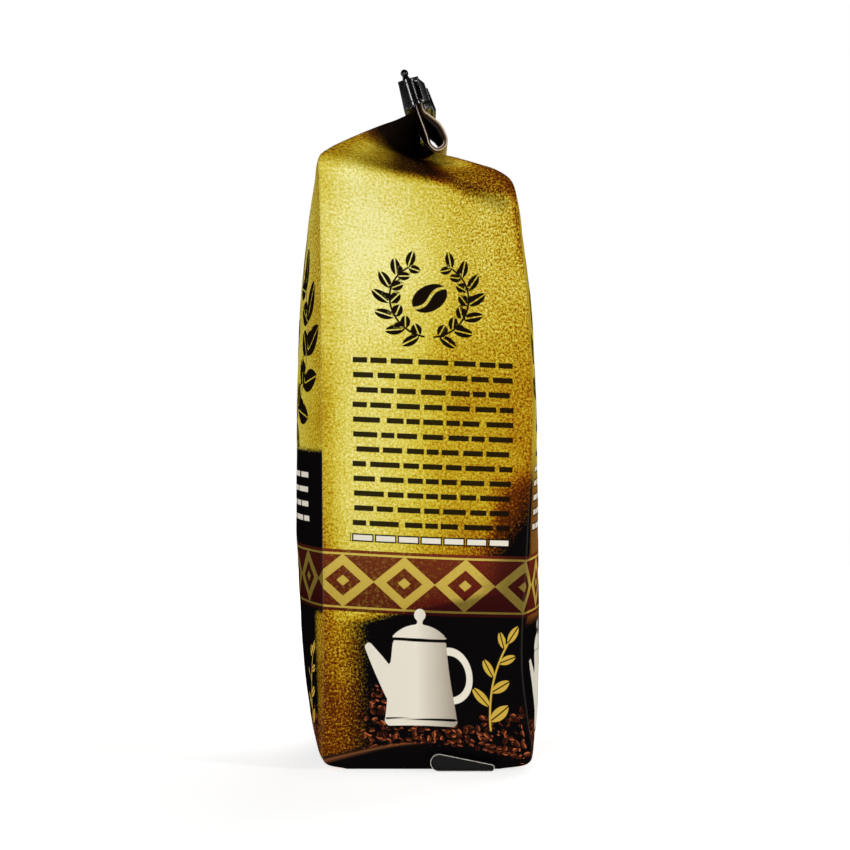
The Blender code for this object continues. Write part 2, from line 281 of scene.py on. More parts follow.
@dataclass
class FilmForm:
    """The stations of the bag turned into its skin, in millimetres.

    Attributes:
        clip: Where the clip sits.
        pitch: The widest step between two rows.
        mouth_film: The thickness of the flattened mouth.
        loose: How much more its plies stand apart in the loop's outer flank.
        notch: How deep the gusset's fold shows between the two folded edges of the mouth.
        gusset_width: The gusset's width, measured along the film.
        panel_width: The front and back panels' width.
        sole_fold: How much of the web lies below the level of the table's surface.
        columns: How many faces each panel has across.
        gather: How much closer the columns stand at the creases.
    """

    clip: ClipFrame
    pitch: float = 0.85
    mouth_film: float = 0.8
    loose: float = 0.7
    notch: float = 1.6
    gusset_width: float = 66.0
    panel_width: float = 83.0
    sole_fold: float = 5.6
    columns: tuple[int, int, int, int] = (44, 96, 44, 60)
    gather: float = 0.45

    def mouth_line(self) -> np.ndarray:
        """The centre line of the flattened mouth, up through the clip, down behind it and up again in a loop."""
        up = [(-1.7, -3.6), (-1.7, 0.0), (-1.7, 3.0), (-1.15, 3.55), (-0.6, 3.0), (-0.6, -0.5), (-0.6, -4.0)]
        loop = [(2.9, 194.8), (3.9, 191.6), (6.0, 190.0), (8.1, 191.1), (8.5, 193.4), (6.6, 197.2), (3.6, 199.8)]
        end = [(0.5, -4.4), (0.5, -1.0), (0.5, 2.2)]
        points = [self.clip.point(*p) for p in up] + loop + [self.clip.point(*p) for p in end]
        return through(np.array(points), 0.5)

    def rows(self) -> tuple[np.ndarray, int]:
        """All rows of the skin.

        Returns:
            The rows, each as a station's numbers, and the number of rows below the mouth.
        """
        body = through(np.array([s.row() for s in BODY]), self.pitch)
        line = self.mouth_line()
        way = np.gradient(line, axis=0)
        way /= np.linalg.norm(way, axis=1)[:, None]
        n = len(line)
        flank = 1 + self.loose * smooth_step(-0.06, 0.1, np.arange(n) / n - np.argmin(line[:, 1]) / n)
        left = np.stack([-way[:, 1], way[:, 0]], axis=1) * (self.mouth_film / 2 * flank)[:, None]
        half = BODY[-1].half
        side = np.column_stack([np.full(n, half), line])
        mouth = np.column_stack([line + left, line - left, side, np.zeros((n, 2)), np.full(n, half)])
        return np.vstack([body, mouth]), len(body)

    def gusset(self, rows: np.ndarray, below: int, share: np.ndarray) -> np.ndarray:
        """Points across the +X gusset.

        Args:
            rows: The rows of the skin.
            below: The number of rows below the mouth.
            share: For each column, 0 at the front crease and 1 at the back crease.

        Returns:
            An array of rows by columns by (x, y, z).
        """
        half = rows[:, 9:10]
        front, back = np.hstack([half, rows[:, 0:2]]), np.hstack([half, rows[:, 2:4]])
        reach = rows[:, 4:7] - (front + back) / 2
        depth = -reach[:, :1]
        inwards = smooth_step(-1.0, 3.0, depth)
        round_one = np.sin(math.pi * share)[None]
        soft = 0.02
        valley = 1 - ((np.hypot(2 * share - 1, soft) - soft) / (math.hypot(1, soft) - soft))[None]
        plunge = valley ** (1 + smooth_step(24, 6, depth))
        drop = 1 - (1 - valley) ** (1 + 1.4 * smooth_step(30, 14, depth))
        profile = np.stack([(1 - inwards) * round_one + inwards * way for way in (plunge, valley, drop)], axis=2)
        grid = front[:, None] + (back - front)[:, None] * share[None, :, None] + reach[:, None] * profile
        fold = smooth_step(0.3, 0.46, share) * smooth_step(0.3, 0.46, 1 - share)
        grid[below:, :, 0] -= self.notch * fold[None]
        return grid

    def panel(self, rows: np.ndarray, face: Panel, share: np.ndarray) -> np.ndarray:
        """Points across the front or the back panel, in the order in which the panel reads from outside.

        Args:
            rows: The rows of the skin.
            face: The front or the back panel.
            share: For each column, 0 at the panel's left crease and 1 at its right.

        Returns:
            An array of rows by columns by (x, y, z).
        """
        sign = 1 if face is Panel.FRONT else -1
        first = 0 if face is Panel.FRONT else 2
        t = (2 * share - 1)[None]
        bulge = rows[:, 7 + first // 2, None]
        x = rows[:, 9:10] * t * sign
        y = rows[:, first, None] - sign * bulge * (1 - t**2)
        z = np.broadcast_to(rows[:, first + 1, None], x.shape)
        return np.stack([x, y, z], axis=2)

    def skin(self) -> Skin:
        """Lofts all four panels and rounds the creases between them.

        Returns:
            The whole skin.
        """
        rows, below = self.rows()
        steps = [np.linalg.norm(np.diff(rows[:, k : k + 2], axis=0), axis=1) for k in (0, 2)]
        lengths = [np.concatenate([[0], np.cumsum(step)]) - self.sole_fold for step in steps]
        points, heights, shares, faces = [], [], [], []
        for face, count in zip(Panel, self.columns):
            even = np.arange(count) / count
            share = even - self.gather * np.sin(4 * math.pi * even) / (4 * math.pi)
            if face in (Panel.FRONT, Panel.BACK):
                points.append(self.panel(rows, face, share))
                heights.append(np.repeat(lengths[face.value // 2][:, None], count, axis=1))
            else:
                along = share if face is Panel.RIGHT else 1 - share
                side = self.gusset(rows, below, along)
                points.append(side if face is Panel.RIGHT else side * (-1, 1, 1))
                heights.append(lengths[0][:, None] * (1 - along) + lengths[1][:, None] * along)
            shares.append(share)
            faces.append(np.full(count, face.value))
        grid = np.concatenate(points, 1)
        share = np.concatenate(shares)
        crease = np.exp(-((np.minimum(share, 1 - share) * self.gusset_width / 0.5) ** 2))[None, :, None]
        for _ in range(2):
            grid = grid + 0.5 * crease * ((np.roll(grid, 1, 1) + np.roll(grid, -1, 1)) / 2 - grid)
        return Skin(grid, np.concatenate(heights, 1), share, np.concatenate(faces), below)


# ---- The print ------------------------------------------------------------------------------------


def disc(p: np.ndarray, centre: tuple[float, float], radius: float) -> np.ndarray:
    """How deep points lie inside a disc, negative outside it."""
    return radius - np.hypot(p[..., 0] - centre[0], p[..., 1] - centre[1])


def bar(
    p: np.ndarray, start: tuple[float, float], stop: tuple[float, float], first: float, last: float
) -> np.ndarray:
    """How deep points lie inside a round-ended bar whose radius goes from first to last."""
    a, b = np.array(start), np.array(stop)
    way = b - a
    t = np.clip(((p - a) @ way) / (way @ way), 0, 1)
    return first + (last - first) * t - np.linalg.norm(p - a - t[..., None] * way, axis=-1)


def polygon(p: np.ndarray, corners: list[tuple[float, float]]) -> np.ndarray:
    """How deep points lie inside a polygon."""
    near = np.full(p.shape[:-1], np.inf)
    inside = np.zeros(p.shape[:-1], bool)
    for (x0, y0), (x1, y1) in zip(corners, corners[1:] + corners[:1]):
        edge = np.array([x1 - x0, y1 - y0])
        rel = p - (x0, y0)
        t = np.clip(rel @ edge / (edge @ edge), 0, 1)
        near = np.minimum(near, np.linalg.norm(rel - t[..., None] * edge, axis=-1))
        crosses = (p[..., 1] >= min(y0, y1)) & (p[..., 1] < max(y0, y1))
        if y0 != y1:
            inside ^= crosses & (p[..., 0] < x0 + (p[..., 1] - y0) * (x1 - x0) / (y1 - y0))
    return np.where(inside, near, -near)


def together(*fields: np.ndarray) -> np.ndarray:
    """The union of shapes."""
    return np.maximum.reduce(fields)


@dataclass(frozen=True)
class Leaf:
    """A pointed leaf with a vein.

    Attributes:
        foot: Where it grows from.
        way: The way it points, in degrees from the panel's right.
        length: Its length in millimetres.
        width: Its width in millimetres.
    """

    foot: tuple[float, float]
    way: float
    length: float
    width: float

    def place(self, p: np.ndarray) -> tuple[np.ndarray, np.ndarray]:
        """How deep points lie inside the leaf, and how far aside of its vein."""
        turn = math.radians(self.way)
        rel = p - self.foot
        along = rel[..., 0] * math.cos(turn) + rel[..., 1] * math.sin(turn)
        aside = rel[..., 1] * math.cos(turn) - rel[..., 0] * math.sin(turn)
        radius = (self.length**2 + self.width**2) / (4 * self.width)
        depth = radius - np.hypot(along - self.length / 2, np.abs(aside) + radius - self.width / 2)
        return depth, aside + 0.04 * (along - self.length / 2)


@dataclass(frozen=True)
class Fruit:
    """A round fruit, without a vein."""

    centre: tuple[float, float]
    radius: float

    def place(self, p: np.ndarray) -> tuple[np.ndarray, np.ndarray]:
        """How deep points lie inside the fruit, and a distance that no vein reaches."""
        depth = disc(p, self.centre, self.radius)
        return depth, np.full(depth.shape, 9.0)


@dataclass(frozen=True)
class BeanMark:
    """A coffee bean drawn in one ink, with an S-shaped slit.

    Attributes:
        centre: Its middle.
        length: Its length in millimetres.
        way: The way its length points, in degrees.
    """

    centre: tuple[float, float]
    length: float
    way: float

    def place(self, p: np.ndarray) -> tuple[np.ndarray, np.ndarray]:
        """How deep points lie inside the bean, and how far aside of its slit."""
        turn = math.radians(self.way)
        rel = (p - self.centre) * 2 / self.length
        along = rel[..., 0] * math.cos(turn) + rel[..., 1] * math.sin(turn)
        aside = rel[..., 1] * math.cos(turn) - rel[..., 0] * math.sin(turn)
        depth = (1 - np.hypot(along, aside / 0.7)) * 0.35 * self.length
        slit = (aside - 0.17 * np.sin(3.0 * along)) * self.length / 2
        return depth, slit * 5.0 / self.length


@dataclass(frozen=True)
class Spray:
    """Leaves, fruits and beans along stems.

    Attributes:
        parts: What grows on it.
        arcs: Each stem's centre, radius, and first and last angle in degrees.
    """

    parts: tuple[Leaf | Fruit | BeanMark, ...]
    arcs: tuple[tuple[tuple[float, float], float, float, float], ...]

    def fields(self, p: np.ndarray) -> dict[str, np.ndarray]:
        """The depth inside the nearest part, the way aside of its vein and of the stem, and where the stem grows."""
        depths, asides = zip(*[part.place(p) for part in self.parts])
        best = np.argmax(depths, axis=0)[None]
        stem, grown = np.full(p.shape[:-1], 99.0), np.zeros(p.shape[:-1])
        for centre, radius, first, last in self.arcs:
            rel = p - centre
            turn = (np.degrees(np.arctan2(rel[..., 1], rel[..., 0])) - first) % 360
            off = np.hypot(rel[..., 0], rel[..., 1]) - radius
            stem = np.where(np.abs(off) <= np.abs(stem), off, stem)
            grown = np.maximum(grown, turn <= last - first)
        return {
            "spray": np.take_along_axis(np.array(depths), best, 0)[0],
            "vein": np.take_along_axis(np.array(asides), best, 0)[0],
            "stem": stem,
            "grown": grown,
        }


def wreath(centre: tuple[float, float], radius: float) -> Spray:
    """Two mirrored boughs that meet below, with paired leaves and fruit, round a bean.

    Args:
        centre: The wreath's middle.
        radius: The boughs' radius in millimetres.

    Returns:
        The wreath.
    """
    parts: list[Leaf | Fruit | BeanMark] = [BeanMark(centre, 0.98 * radius, 35)]
    steps = 7
    for side in (1, -1):
        for i in range(steps):
            turn = math.radians(-76 + 132 * i / (steps - 1))
            foot = (centre[0] + side * radius * math.cos(turn), centre[1] + radius * math.sin(turn))
            size = radius * (0.58 - 0.02 * abs(i - 3))
            for lean, share in ((-44, 1.0), (50, 0.62)):
                way = math.degrees(turn) + 90 + lean
                parts.append(Leaf(foot, way if side > 0 else 180 - way, size * share, size * 0.46))
            if i < steps - 1:
                turn += math.radians(11)
                out = radius * (1.09 if i % 2 else 0.92)
                berry = (centre[0] + side * out * math.cos(turn), centre[1] + out * math.sin(turn))
                parts.append(Fruit(berry, 0.085 * radius))
    return Spray(tuple(parts), ((centre, radius, -84, 58), (centre, radius, 122, 264)))


def sprig(foot: tuple[float, float], height: float) -> Spray:
    """One upright stem that leans over to the right, with alternate leaves.

    Args:
        foot: Where its stem starts.
        height: How tall it is in millimetres.

    Returns:
        The sprig.
    """
    bend = 1.9 * height
    centre = (foot[0] + bend, foot[1])
    parts: list[Leaf | Fruit | BeanMark] = []
    steps = 6
    for i in range(steps):
        turn = math.radians(180 - 30 * (i + 0.6) / steps)
        place = (centre[0] + bend * math.cos(turn), centre[1] + bend * math.sin(turn))
        way = math.degrees(turn) - 90
        size = height * (0.30 - 0.02 * i)
        parts.append(Leaf(place, way + (48 if i % 2 else -44), size, size * 0.4))
    top = math.radians(180 - 30)
    tip = (centre[0] + bend * math.cos(top), centre[1] + bend * math.sin(top))
    parts.append(Leaf(tip, 58, height * 0.22, height * 0.09))
    return Spray(tuple(parts), ((centre, bend, 150, 180),))


@dataclass(frozen=True)
class PrintDesign:
    """The generic print: where each ink lies on a panel, as depths in millimetres and shares from 0 to 1, with painted
    light and shade in the gussets' tone.

    Attributes:
        pot: Where the middle of the pot's foot stands on a gusset, across and up.
        heading: The middle of the wreath on a gusset.
        heading_radius: The wreath's radius.
        sprig_foot: Where the gold sprig grows from.
        sprig_height: How tall the sprig is.
        bars: The lowest and highest level of the bars that stand for words.
        bars_side: The left and the right end of their rows.
    """

    pot: tuple[float, float] = (-1.5, 11.5)
    heading: tuple[float, float] = (0.5, 145.5)
    heading_radius: float = 12.6
    sprig_foot: tuple[float, float] = (20.5, 12.0)
    sprig_height: float = 30.0
    bars: tuple[float, float] = (69.4, 127.2)
    bars_side: tuple[float, float] = (-23.8, 27.4)

    def pot_body(self, p: np.ndarray) -> np.ndarray:
        """The pot's body, spout, lid and knob."""
        body = polygon(p, [(-11.6, 1.8), (-10.4, 0.4), (10.4, 0.4), (11.6, 1.8), (8.8, 29.0), (-8.8, 29.0)])
        spout = polygon(p, [(-10.2, 9.5), (-8.8, 19.0), (-12.6, 23.5), (-16.6, 27.6), (-17.6, 26.6), (-14.8, 20.0)])
        lid = np.minimum(disc(p, (0, 22.3), 12.0), p[..., 1] - 29.9)
        knob = together(disc(p, (0, 37.2), 1.9), bar(p, (0, 34.0), (0, 36.6), 0.9, 0.7))
        return together(body, spout + 0.5, lid, knob)

    def pot_trim(self, p: np.ndarray) -> np.ndarray:
        """The pot's dark rim and foot ring."""
        rim = bar(p, (-8.6, 29.5), (8.6, 29.5), 0.5, 0.5)
        foot = bar(p, (-11.0, 2.9), (11.0, 2.9), 0.5, 0.5)
        return together(rim, foot)

    def pot_handle(self, p: np.ndarray) -> np.ndarray:
        """The pot's handle, a ring at the right of its body."""
        ring = 1.15 - np.abs(np.hypot((p[..., 0] - 9.6) * 1.1, (p[..., 1] - 18.0) * 0.92) - 7.6)
        outside = (p[..., 0] - 11.3) + 0.1 * p[..., 1]
        return np.minimum(ring, outside)

    def spray(self, face: Panel, p: np.ndarray) -> dict[str, np.ndarray]:
        """The fields of the wreath high on the panel and of the sprig low on it."""
        wide = face in (Panel.FRONT, Panel.BACK)
        if wide:
            high = wreath((0.0, 131.0), 27.0).fields(p)
            low = sprig((24.0, 9.0), 26.0).fields(p)
        else:
            high = wreath(self.heading, self.heading_radius).fields(p)
            low = sprig(self.sprig_foot, self.sprig_height).fields(p)
        return {name: np.where(p[..., 1] > 84, high[name], low[name]) for name in high}

    def printed_and_painted(self, face: Panel, across: np.ndarray, height: np.ndarray) -> dict[str, np.ndarray]:
        """Every field of ink on one panel, and the painted light and shade in the gussets' tone.

        Args:
            face: The panel.
            across: Millimetres from the panel's middle, to the right as it reads.
            height: Millimetres up the web.

        Returns:
            Fields by name.
        """
        wide = face in (Panel.FRONT, Panel.BACK)
        p = np.stack([across, height], axis=-1)
        scale = 0.95 if wide else 1.0
        local = (p - ((-16.0, 9.0) if wide else self.pot)) / scale
        left, right = (-31.0, 31.0) if wide else self.bars_side
        line = (across - left) / (right - left)
        low, high = {Panel.FRONT: (73.0, 91.6), Panel.BACK: (73.0, 100.0)}.get(face, self.bars)
        block = np.minimum(np.minimum(across - left, right - across), np.minimum(height - low, high - height))
        return {
            "pot": self.pot_body(local),
            "pot_handle": self.pot_handle(local),
            "pot_trim": self.pot_trim(local),
            "pot_side": local[..., 0] / 12.0,
            "bars": block,
            "line": line,
            "tone": self.tone(face, across, height),
            "grit": self.grit(face, across, height),
            "dark": self.dark(face, across, height),
            "maroon": self.maroon(face, across, height),
            "copper": self.copper(face, across, height),
            "beans": self.bean_zone(face, across, height),
            **self.spray(face, p),
        }

    def tone(self, face: Panel, across: np.ndarray, height: np.ndarray) -> np.ndarray:
        """The gold ground's tone, from 0 for pale straw to 1 for umber, with painted light and shade on the gussets.
        """
        if face in (Panel.FRONT, Panel.BACK):
            return 0.38 + 0.2 * smooth_step(20, 44, np.abs(across)) + 0.3 * smooth_step(80, 4, height)
        # Lightest left of the middle and darker towards both sides: part the print's gradient, part a painted soft
        # highlight.
        aside = 0.06 + 0.2 * smooth_step(-23, -33, across) + 0.36 * smooth_step(-17, 12, across)
        aside += 0.1 * smooth_step(14, 33, across)
        aside += 0.07 * smooth_step(170, 180, height) * smooth_step(5, -5, across)
        low = 0.18 * smooth_step(160, 115, height) + 0.16 * smooth_step(90, 50, height)
        low += 0.28 * smooth_step(18, 27, across) * smooth_step(97, 82, height)
        low += 0.08 * smooth_step(62, 48, height) + 0.28 * smooth_step(50, 8, height)
        low += 0.1 * smooth_step(-27, -32, across) * smooth_step(135, 112, height)
        corner = 0.3 * smooth_step(29, 33, across) * smooth_step(148, 166, height)
        # Painted shade on the top facet right of the middle crease, which tilts away from the light.
        level = np.interp(across, (0, 14, 33), (187, 181, 178))
        facet = smooth_step(level - 2, level + 2.5, height) * smooth_step(-2, 3, across)
        facet *= 0.4 - 0.3 * smooth_step(192, 197, height) * smooth_step(8, 14, across)
        low += 0.22 * smooth_step(-13, -1, self.beyond(across, height))
        # The folds at the top bring their painted shade into the tone too.
        return np.clip(aside + low + corner + facet + 0.65 * self.painted_shade(across, height), 0, 1)

    def painted_shade(self, across: np.ndarray, height: np.ndarray) -> np.ndarray:
        """Painted shade where a gusset folds in towards the mouth, from 0 for none to 1 for near-black."""
        side = 0.5 + 0.2 * smooth_step(-28, -18, across) + 0.24 * smooth_step(-19, -9, across)
        side = np.maximum(side, smooth_step(184, 200, height + 0.25 * across))
        reach = 12 - 0.6 * (height - 190) + 50 * smooth_step(204, 210, height)
        return side * smooth_step(184, 190, height) * (1 - smooth_step(reach - 9, reach, across))

    def grit(self, face: Panel, across: np.ndarray, height: np.ndarray) -> np.ndarray:
        """How coarse the gold speckle looks, from 0 to 1."""
        right = 0.45 * smooth_step(-10, 20, across) * smooth_step(110, 160, height)
        return np.clip(0.36 + right + 0.3 * smooth_step(80, 20, height), 0, 1)

    def dark(self, face: Panel, across: np.ndarray, height: np.ndarray) -> np.ndarray:
        """How far the ground has gone to near-black, from 0 to 1."""
        if face is Panel.FRONT:
            corners = smooth_step(30, 38, np.abs(across)) * smooth_step(50, 46, height)
            return smooth_step(99, 95, height) * (1 - 0.8 * corners)
        if face is Panel.BACK:
            corners = 0.75 * smooth_step(30, 40, np.abs(across)) * smooth_step(98, 86, height)
            return np.maximum(corners, 0.8 * smooth_step(50, 44, height) * smooth_step(-1, 5, height))
        beyond = self.beyond(across, height)
        fade = 0.9 * smooth_step(-11, 8, beyond) + 0.1 * smooth_step(0, 22, beyond)
        # Below 4.4 mm up the web, where the film turns under at the heel, the gusset is painted black as shade.
        return np.clip(fade + smooth_step(4.4, 2.6, height), 0, 1)

    def beyond(self, across: np.ndarray, height: np.ndarray) -> np.ndarray:
        """How far a place on a gusset lies to the right of the border where the gold goes dark."""
        levels = (0, 45, 50, 56, 66, 80, 100, 130)
        sides = (-20, -21, -5, 20, 22, 32, 42, 48)
        return across - np.interp(height, levels, sides)

    def maroon(self, face: Panel, across: np.ndarray, height: np.ndarray) -> np.ndarray:
        """How much red-brown lies over the ground, from 0 to 1."""
        if face is Panel.FRONT:
            middle = smooth_step(38, 30, np.abs(across))
            return 0.75 * smooth_step(48, 44, height) * smooth_step(0, 3, height) * middle
        if face is Panel.BACK:
            return 0.85 * smooth_step(104, 84, height) * smooth_step(0, 3, height) + 0 * across
        return np.zeros(across.shape)

    def copper(self, face: Panel, across: np.ndarray, height: np.ndarray) -> np.ndarray:
        """How strong a copper-brown line along the fold at the gusset's heel is, from 0 to 1."""
        if face in (Panel.FRONT, Panel.BACK):
            return np.zeros(across.shape)
        level = np.interp(across, (-33, -20, -8, 7, 23), (2.0, 2.6, 3.8, 4.4, 8.0))
        return 0.85 * np.exp(-(((height - level) / 0.55) ** 2)) * smooth_step(2, -12, across)

    def bean_zone(self, face: Panel, across: np.ndarray, height: np.ndarray) -> np.ndarray:
        """Where beans are heaped, from 0 for none to 1 for many."""
        if face in (Panel.FRONT, Panel.BACK):
            return smooth_step(20, 12, height) * smooth_step(2, 5, height) + 0 * across
        ridge = np.interp(across, (-22, -17, -11, 2, 12, 22, 32), (14, 25, 17, 11, 12, 15, 21))
        band = smooth_step(ridge + 4, ridge - 3, height) * smooth_step(2.4, 5, height)
        return 0.72 * band * smooth_step(-22, -16, across) * smooth_step(33, 29, across)


# ---- Finishes -------------------------------------------------------------------------------------


@dataclass(frozen=True)
class PrintedFilm:
    """Printed polypropylene laminate, matt: a painted soft highlight and painted shade over a speckled gold ground.

    Attributes:
        grounds: The gold ground's colours, from pale straw to umber.
        stops: Where each of them lies on the tone scale.
        band: The lowest and highest level of the woven band.
        band_period: The width of one of its diamonds, a fifteenth of the way round the bag.
        bar_pitch: The step between two rows of word bars.
        bar_start: The lower limit of the lowest row.
        bar_height: How high a bar is.
        words: How many bars make a row.
    """

    grounds: tuple[str, ...] = ("#efe8a4", "#dccf62", "#c7b12e", "#af8c12", "#8a4a08", "#4c2006")
    stops: tuple[float, ...] = (0.0, 0.22, 0.44, 0.62, 0.82, 1.0)
    black: str = "#0a0809"
    ink: str = "#160f08"
    tan: str = "#c8ae4e"
    tan_low: str = "#b0953e"
    maroon: str = "#48100f"
    maroon_high: str = "#662417"
    cream: str = "#e0d9c8"
    cream_shade: str = "#7d6c58"
    gold_leaf: str = "#c6a440"
    bean: str = "#2c120b"
    bean_light: str = "#c4663a"
    # The pale of scuffed print and of the painted highlight along the folds.
    rubbed_and_highlit: str = "#cdbbae"
    copper: str = "#7a4a2c"
    band: tuple[float, float] = (48.6, 67.4)
    band_period: float = 298.0 / 15
    bar_pitch: float = 4.5
    bar_start: float = 69.05
    bar_height: float = 1.65
    words: int = 7
    roughness: float = 0.4

    def material(self) -> bpy.types.Material:
        """Builds the film's material.

        Returns:
            The material.
        """
        material, tree, shader = new_material("printed polypropylene laminate")
        web = add(tree, "ShaderNodeUVMap", uv_map="web")
        place = add(tree, "ShaderNodeVectorMath", {0: web, 1: (1000, 1000, 0)}, operation="MULTIPLY")
        axes = add(tree, "ShaderNodeSeparateXYZ", {0: place})
        colour = self.ground(tree, place)
        colour = self.woven_band(tree, colour, axes, place)
        colour = self.beans(tree, colour, place)
        colour = self.motifs(tree, colour, axes)
        colour = self.word_bars(tree, colour, axes)
        colour = self.over(tree, self.read(tree, "copper"), colour, self.copper)
        # Painted shade: the folds at the gussets' top, their creases and the inside of the mouth go near-black.
        colour = self.over(tree, self.read(tree, "painted_shade"), colour, self.black)
        # Pale lines along the creases and the mouth's folds: part scuffed print, part painted highlight.
        colour = self.over(tree, self.read(tree, "rubbed_and_highlit"), colour, self.rubbed_and_highlit)
        tree.links.new(colour, shader.inputs["Base Color"])
        # A fine grain of about a millimetre bumps the film a little.
        grain = add(tree, "ShaderNodeTexNoise", {"Vector": place, "Scale": 0.9, "Detail": 3.0})
        bump = add(tree, "ShaderNodeBump", {"Height": grain, "Strength": 0.14, "Distance": 0.0003})
        tree.links.new(bump.outputs[0], shader.inputs["Normal"])
        shader.inputs["Roughness"].default_value = self.roughness
        shader.inputs["IOR"].default_value = 1.49
        shader.inputs["Specular IOR Level"].default_value = 0.0
        return material

    def read(self, tree: bpy.types.NodeTree, name: str) -> bpy.types.NodeSocket:
        """The number that a vertex attribute holds."""
        return add(tree, "ShaderNodeAttribute", attribute_name=name).outputs["Fac"]

    def over(self, tree: bpy.types.NodeTree, share: Any, under: Any, ink: Any) -> bpy.types.NodeSocket:
        """Lays one colour over another."""
        made = add(tree, "ShaderNodeMix", {"Factor": share}, data_type="RGBA")
        for socket, value in ((made.inputs[6], under), (made.inputs[7], ink)):
            if isinstance(value, str):
                socket.default_value = linear(value)
            else:
                tree.links.new(value, socket)
        return made.outputs[2]

    def ground(self, tree: bpy.types.NodeTree, place: Any) -> bpy.types.NodeSocket:
        """The speckled gold ground and the field that goes dark over it."""
        # Grains of about 0.8 mm over clouds of about 9 mm, as on old parchment.
        grains = add(tree, "ShaderNodeTexNoise", {"Vector": place, "Scale": 1.25, "Detail": 2.0, "Roughness": 0.85})
        clouds = add(tree, "ShaderNodeTexNoise", {"Vector": place, "Scale": 0.09, "Detail": 4.0, "Roughness": 0.6})
        drift = add(tree, "ShaderNodeMapRange", {0: clouds.outputs["Fac"], 1: 0.3, 2: 0.7, 3: -0.07, 4: 0.07})
        strength = add(tree, "ShaderNodeMapRange", {0: self.read(tree, "grit"), 3: 0.6, 4: 2.9})
        centred = add(tree, "ShaderNodeMath", {0: grains.outputs["Fac"], 1: 0.5}, operation="SUBTRACT")
        speckle = add(tree, "ShaderNodeMath", {0: centred, 1: strength}, operation="MULTIPLY")
        tone = add(tree, "ShaderNodeMath", {0: self.read(tree, "tone"), 1: drift}, operation="ADD")
        tone = add(tree, "ShaderNodeMath", {0: tone, 1: speckle}, operation="ADD", use_clamp=True)
        ramp = add(tree, "ShaderNodeValToRGB", {0: tone})
        ramp.color_ramp.elements.remove(ramp.color_ramp.elements[1])
        for i, (stop_at, colour) in enumerate(zip(self.stops, self.grounds)):
            stop = ramp.color_ramp.elements[0] if i == 0 else ramp.color_ramp.elements.new(stop_at)
            stop.position = stop_at
            stop.color = linear(colour)
        tint = self.over(tree, self.read(tree, "maroon"), ramp.outputs[0], self.maroon_high)
        ragged = add(tree, "ShaderNodeMath", {0: centred, 1: 0.85}, operation="MULTIPLY")
        rough = add(tree, "ShaderNodeMath", {0: ragged, 1: self.read(tree, "dark")}, operation="ADD")
        dark = add(tree, "ShaderNodeMapRange", {0: rough, 1: 0.12, 2: 0.64, 3: 0.0, 4: 1.0})
        return self.over(tree, dark.outputs[0], tint, self.black)

    def woven_band(self, tree: bpy.types.NodeTree, colour: Any, axes: Any, place: Any) -> bpy.types.NodeSocket:
        """A band of diamonds between lines, round the whole bag."""
        low, high = self.band
        turns = add(tree, "ShaderNodeMath", {0: axes.outputs[0], 1: self.band_period}, operation="DIVIDE")
        turn = add(tree, "ShaderNodeMath", {0: turns}, operation="FRACT")
        turn = add(tree, "ShaderNodeMath", {0: turn, 1: 0.5}, operation="SUBTRACT")
        turn = add(tree, "ShaderNodeMath", {0: turn}, operation="ABSOLUTE")
        up = add(tree, "ShaderNodeMath", {0: axes.outputs[1], 1: (low + high) / 2}, operation="SUBTRACT")
        up = add(tree, "ShaderNodeMath", {0: up, 1: 2 / (high - low)}, operation="MULTIPLY")
        rise = add(tree, "ShaderNodeMapRange", {0: up, 1: -1.0, 2: 1.0, 3: 0.0, 4: 1.0})
        up = add(tree, "ShaderNodeMath", {0: up}, operation="ABSOLUTE")
        diamond = add(tree, "ShaderNodeMath", {0: turn, 1: 1.7, 2: up}, operation="MULTIPLY_ADD")
        tan = self.over(tree, rise.outputs[0], self.tan_low, self.tan)
        maroon = self.over(tree, rise.outputs[0], self.maroon, self.maroon_high)
        made = colour
        for field, reach, ink in (
            (up, 1.0, maroon),
            (up, 0.9, tan),
            (up, 0.83, maroon),
            (diamond, 0.86, tan),
            (diamond, 0.5, maroon),
            (diamond, 0.18, tan),
        ):
            inside = add(tree, "ShaderNodeMath", {0: field, 1: reach}, operation="LESS_THAN")
            made = self.over(tree, inside.outputs[0], made, ink)
        # Worn patches a few millimetres wide and grains let the ground show through.
        wear = add(tree, "ShaderNodeTexNoise", {"Vector": place, "Scale": 0.8, "Detail": 4.0, "Roughness": 0.75})
        keep = add(tree, "ShaderNodeMapRange", {0: wear.outputs["Fac"], 1: 0.3, 2: 0.5, 3: 0.72, 4: 0.98})
        dim = add(tree, "ShaderNodeMapRange", {0: self.read(tree, "dark"), 1: 0.3, 2: 0.9, 3: 1.0, 4: 0.35})
        inside = add(tree, "ShaderNodeMath", {0: up, 1: 1.0}, operation="LESS_THAN")
        share = add(tree, "ShaderNodeMath", {0: inside, 1: keep}, operation="MULTIPLY")
        share = add(tree, "ShaderNodeMath", {0: share, 1: dim}, operation="MULTIPLY")
        return self.over(tree, share.outputs[0], colour, made)

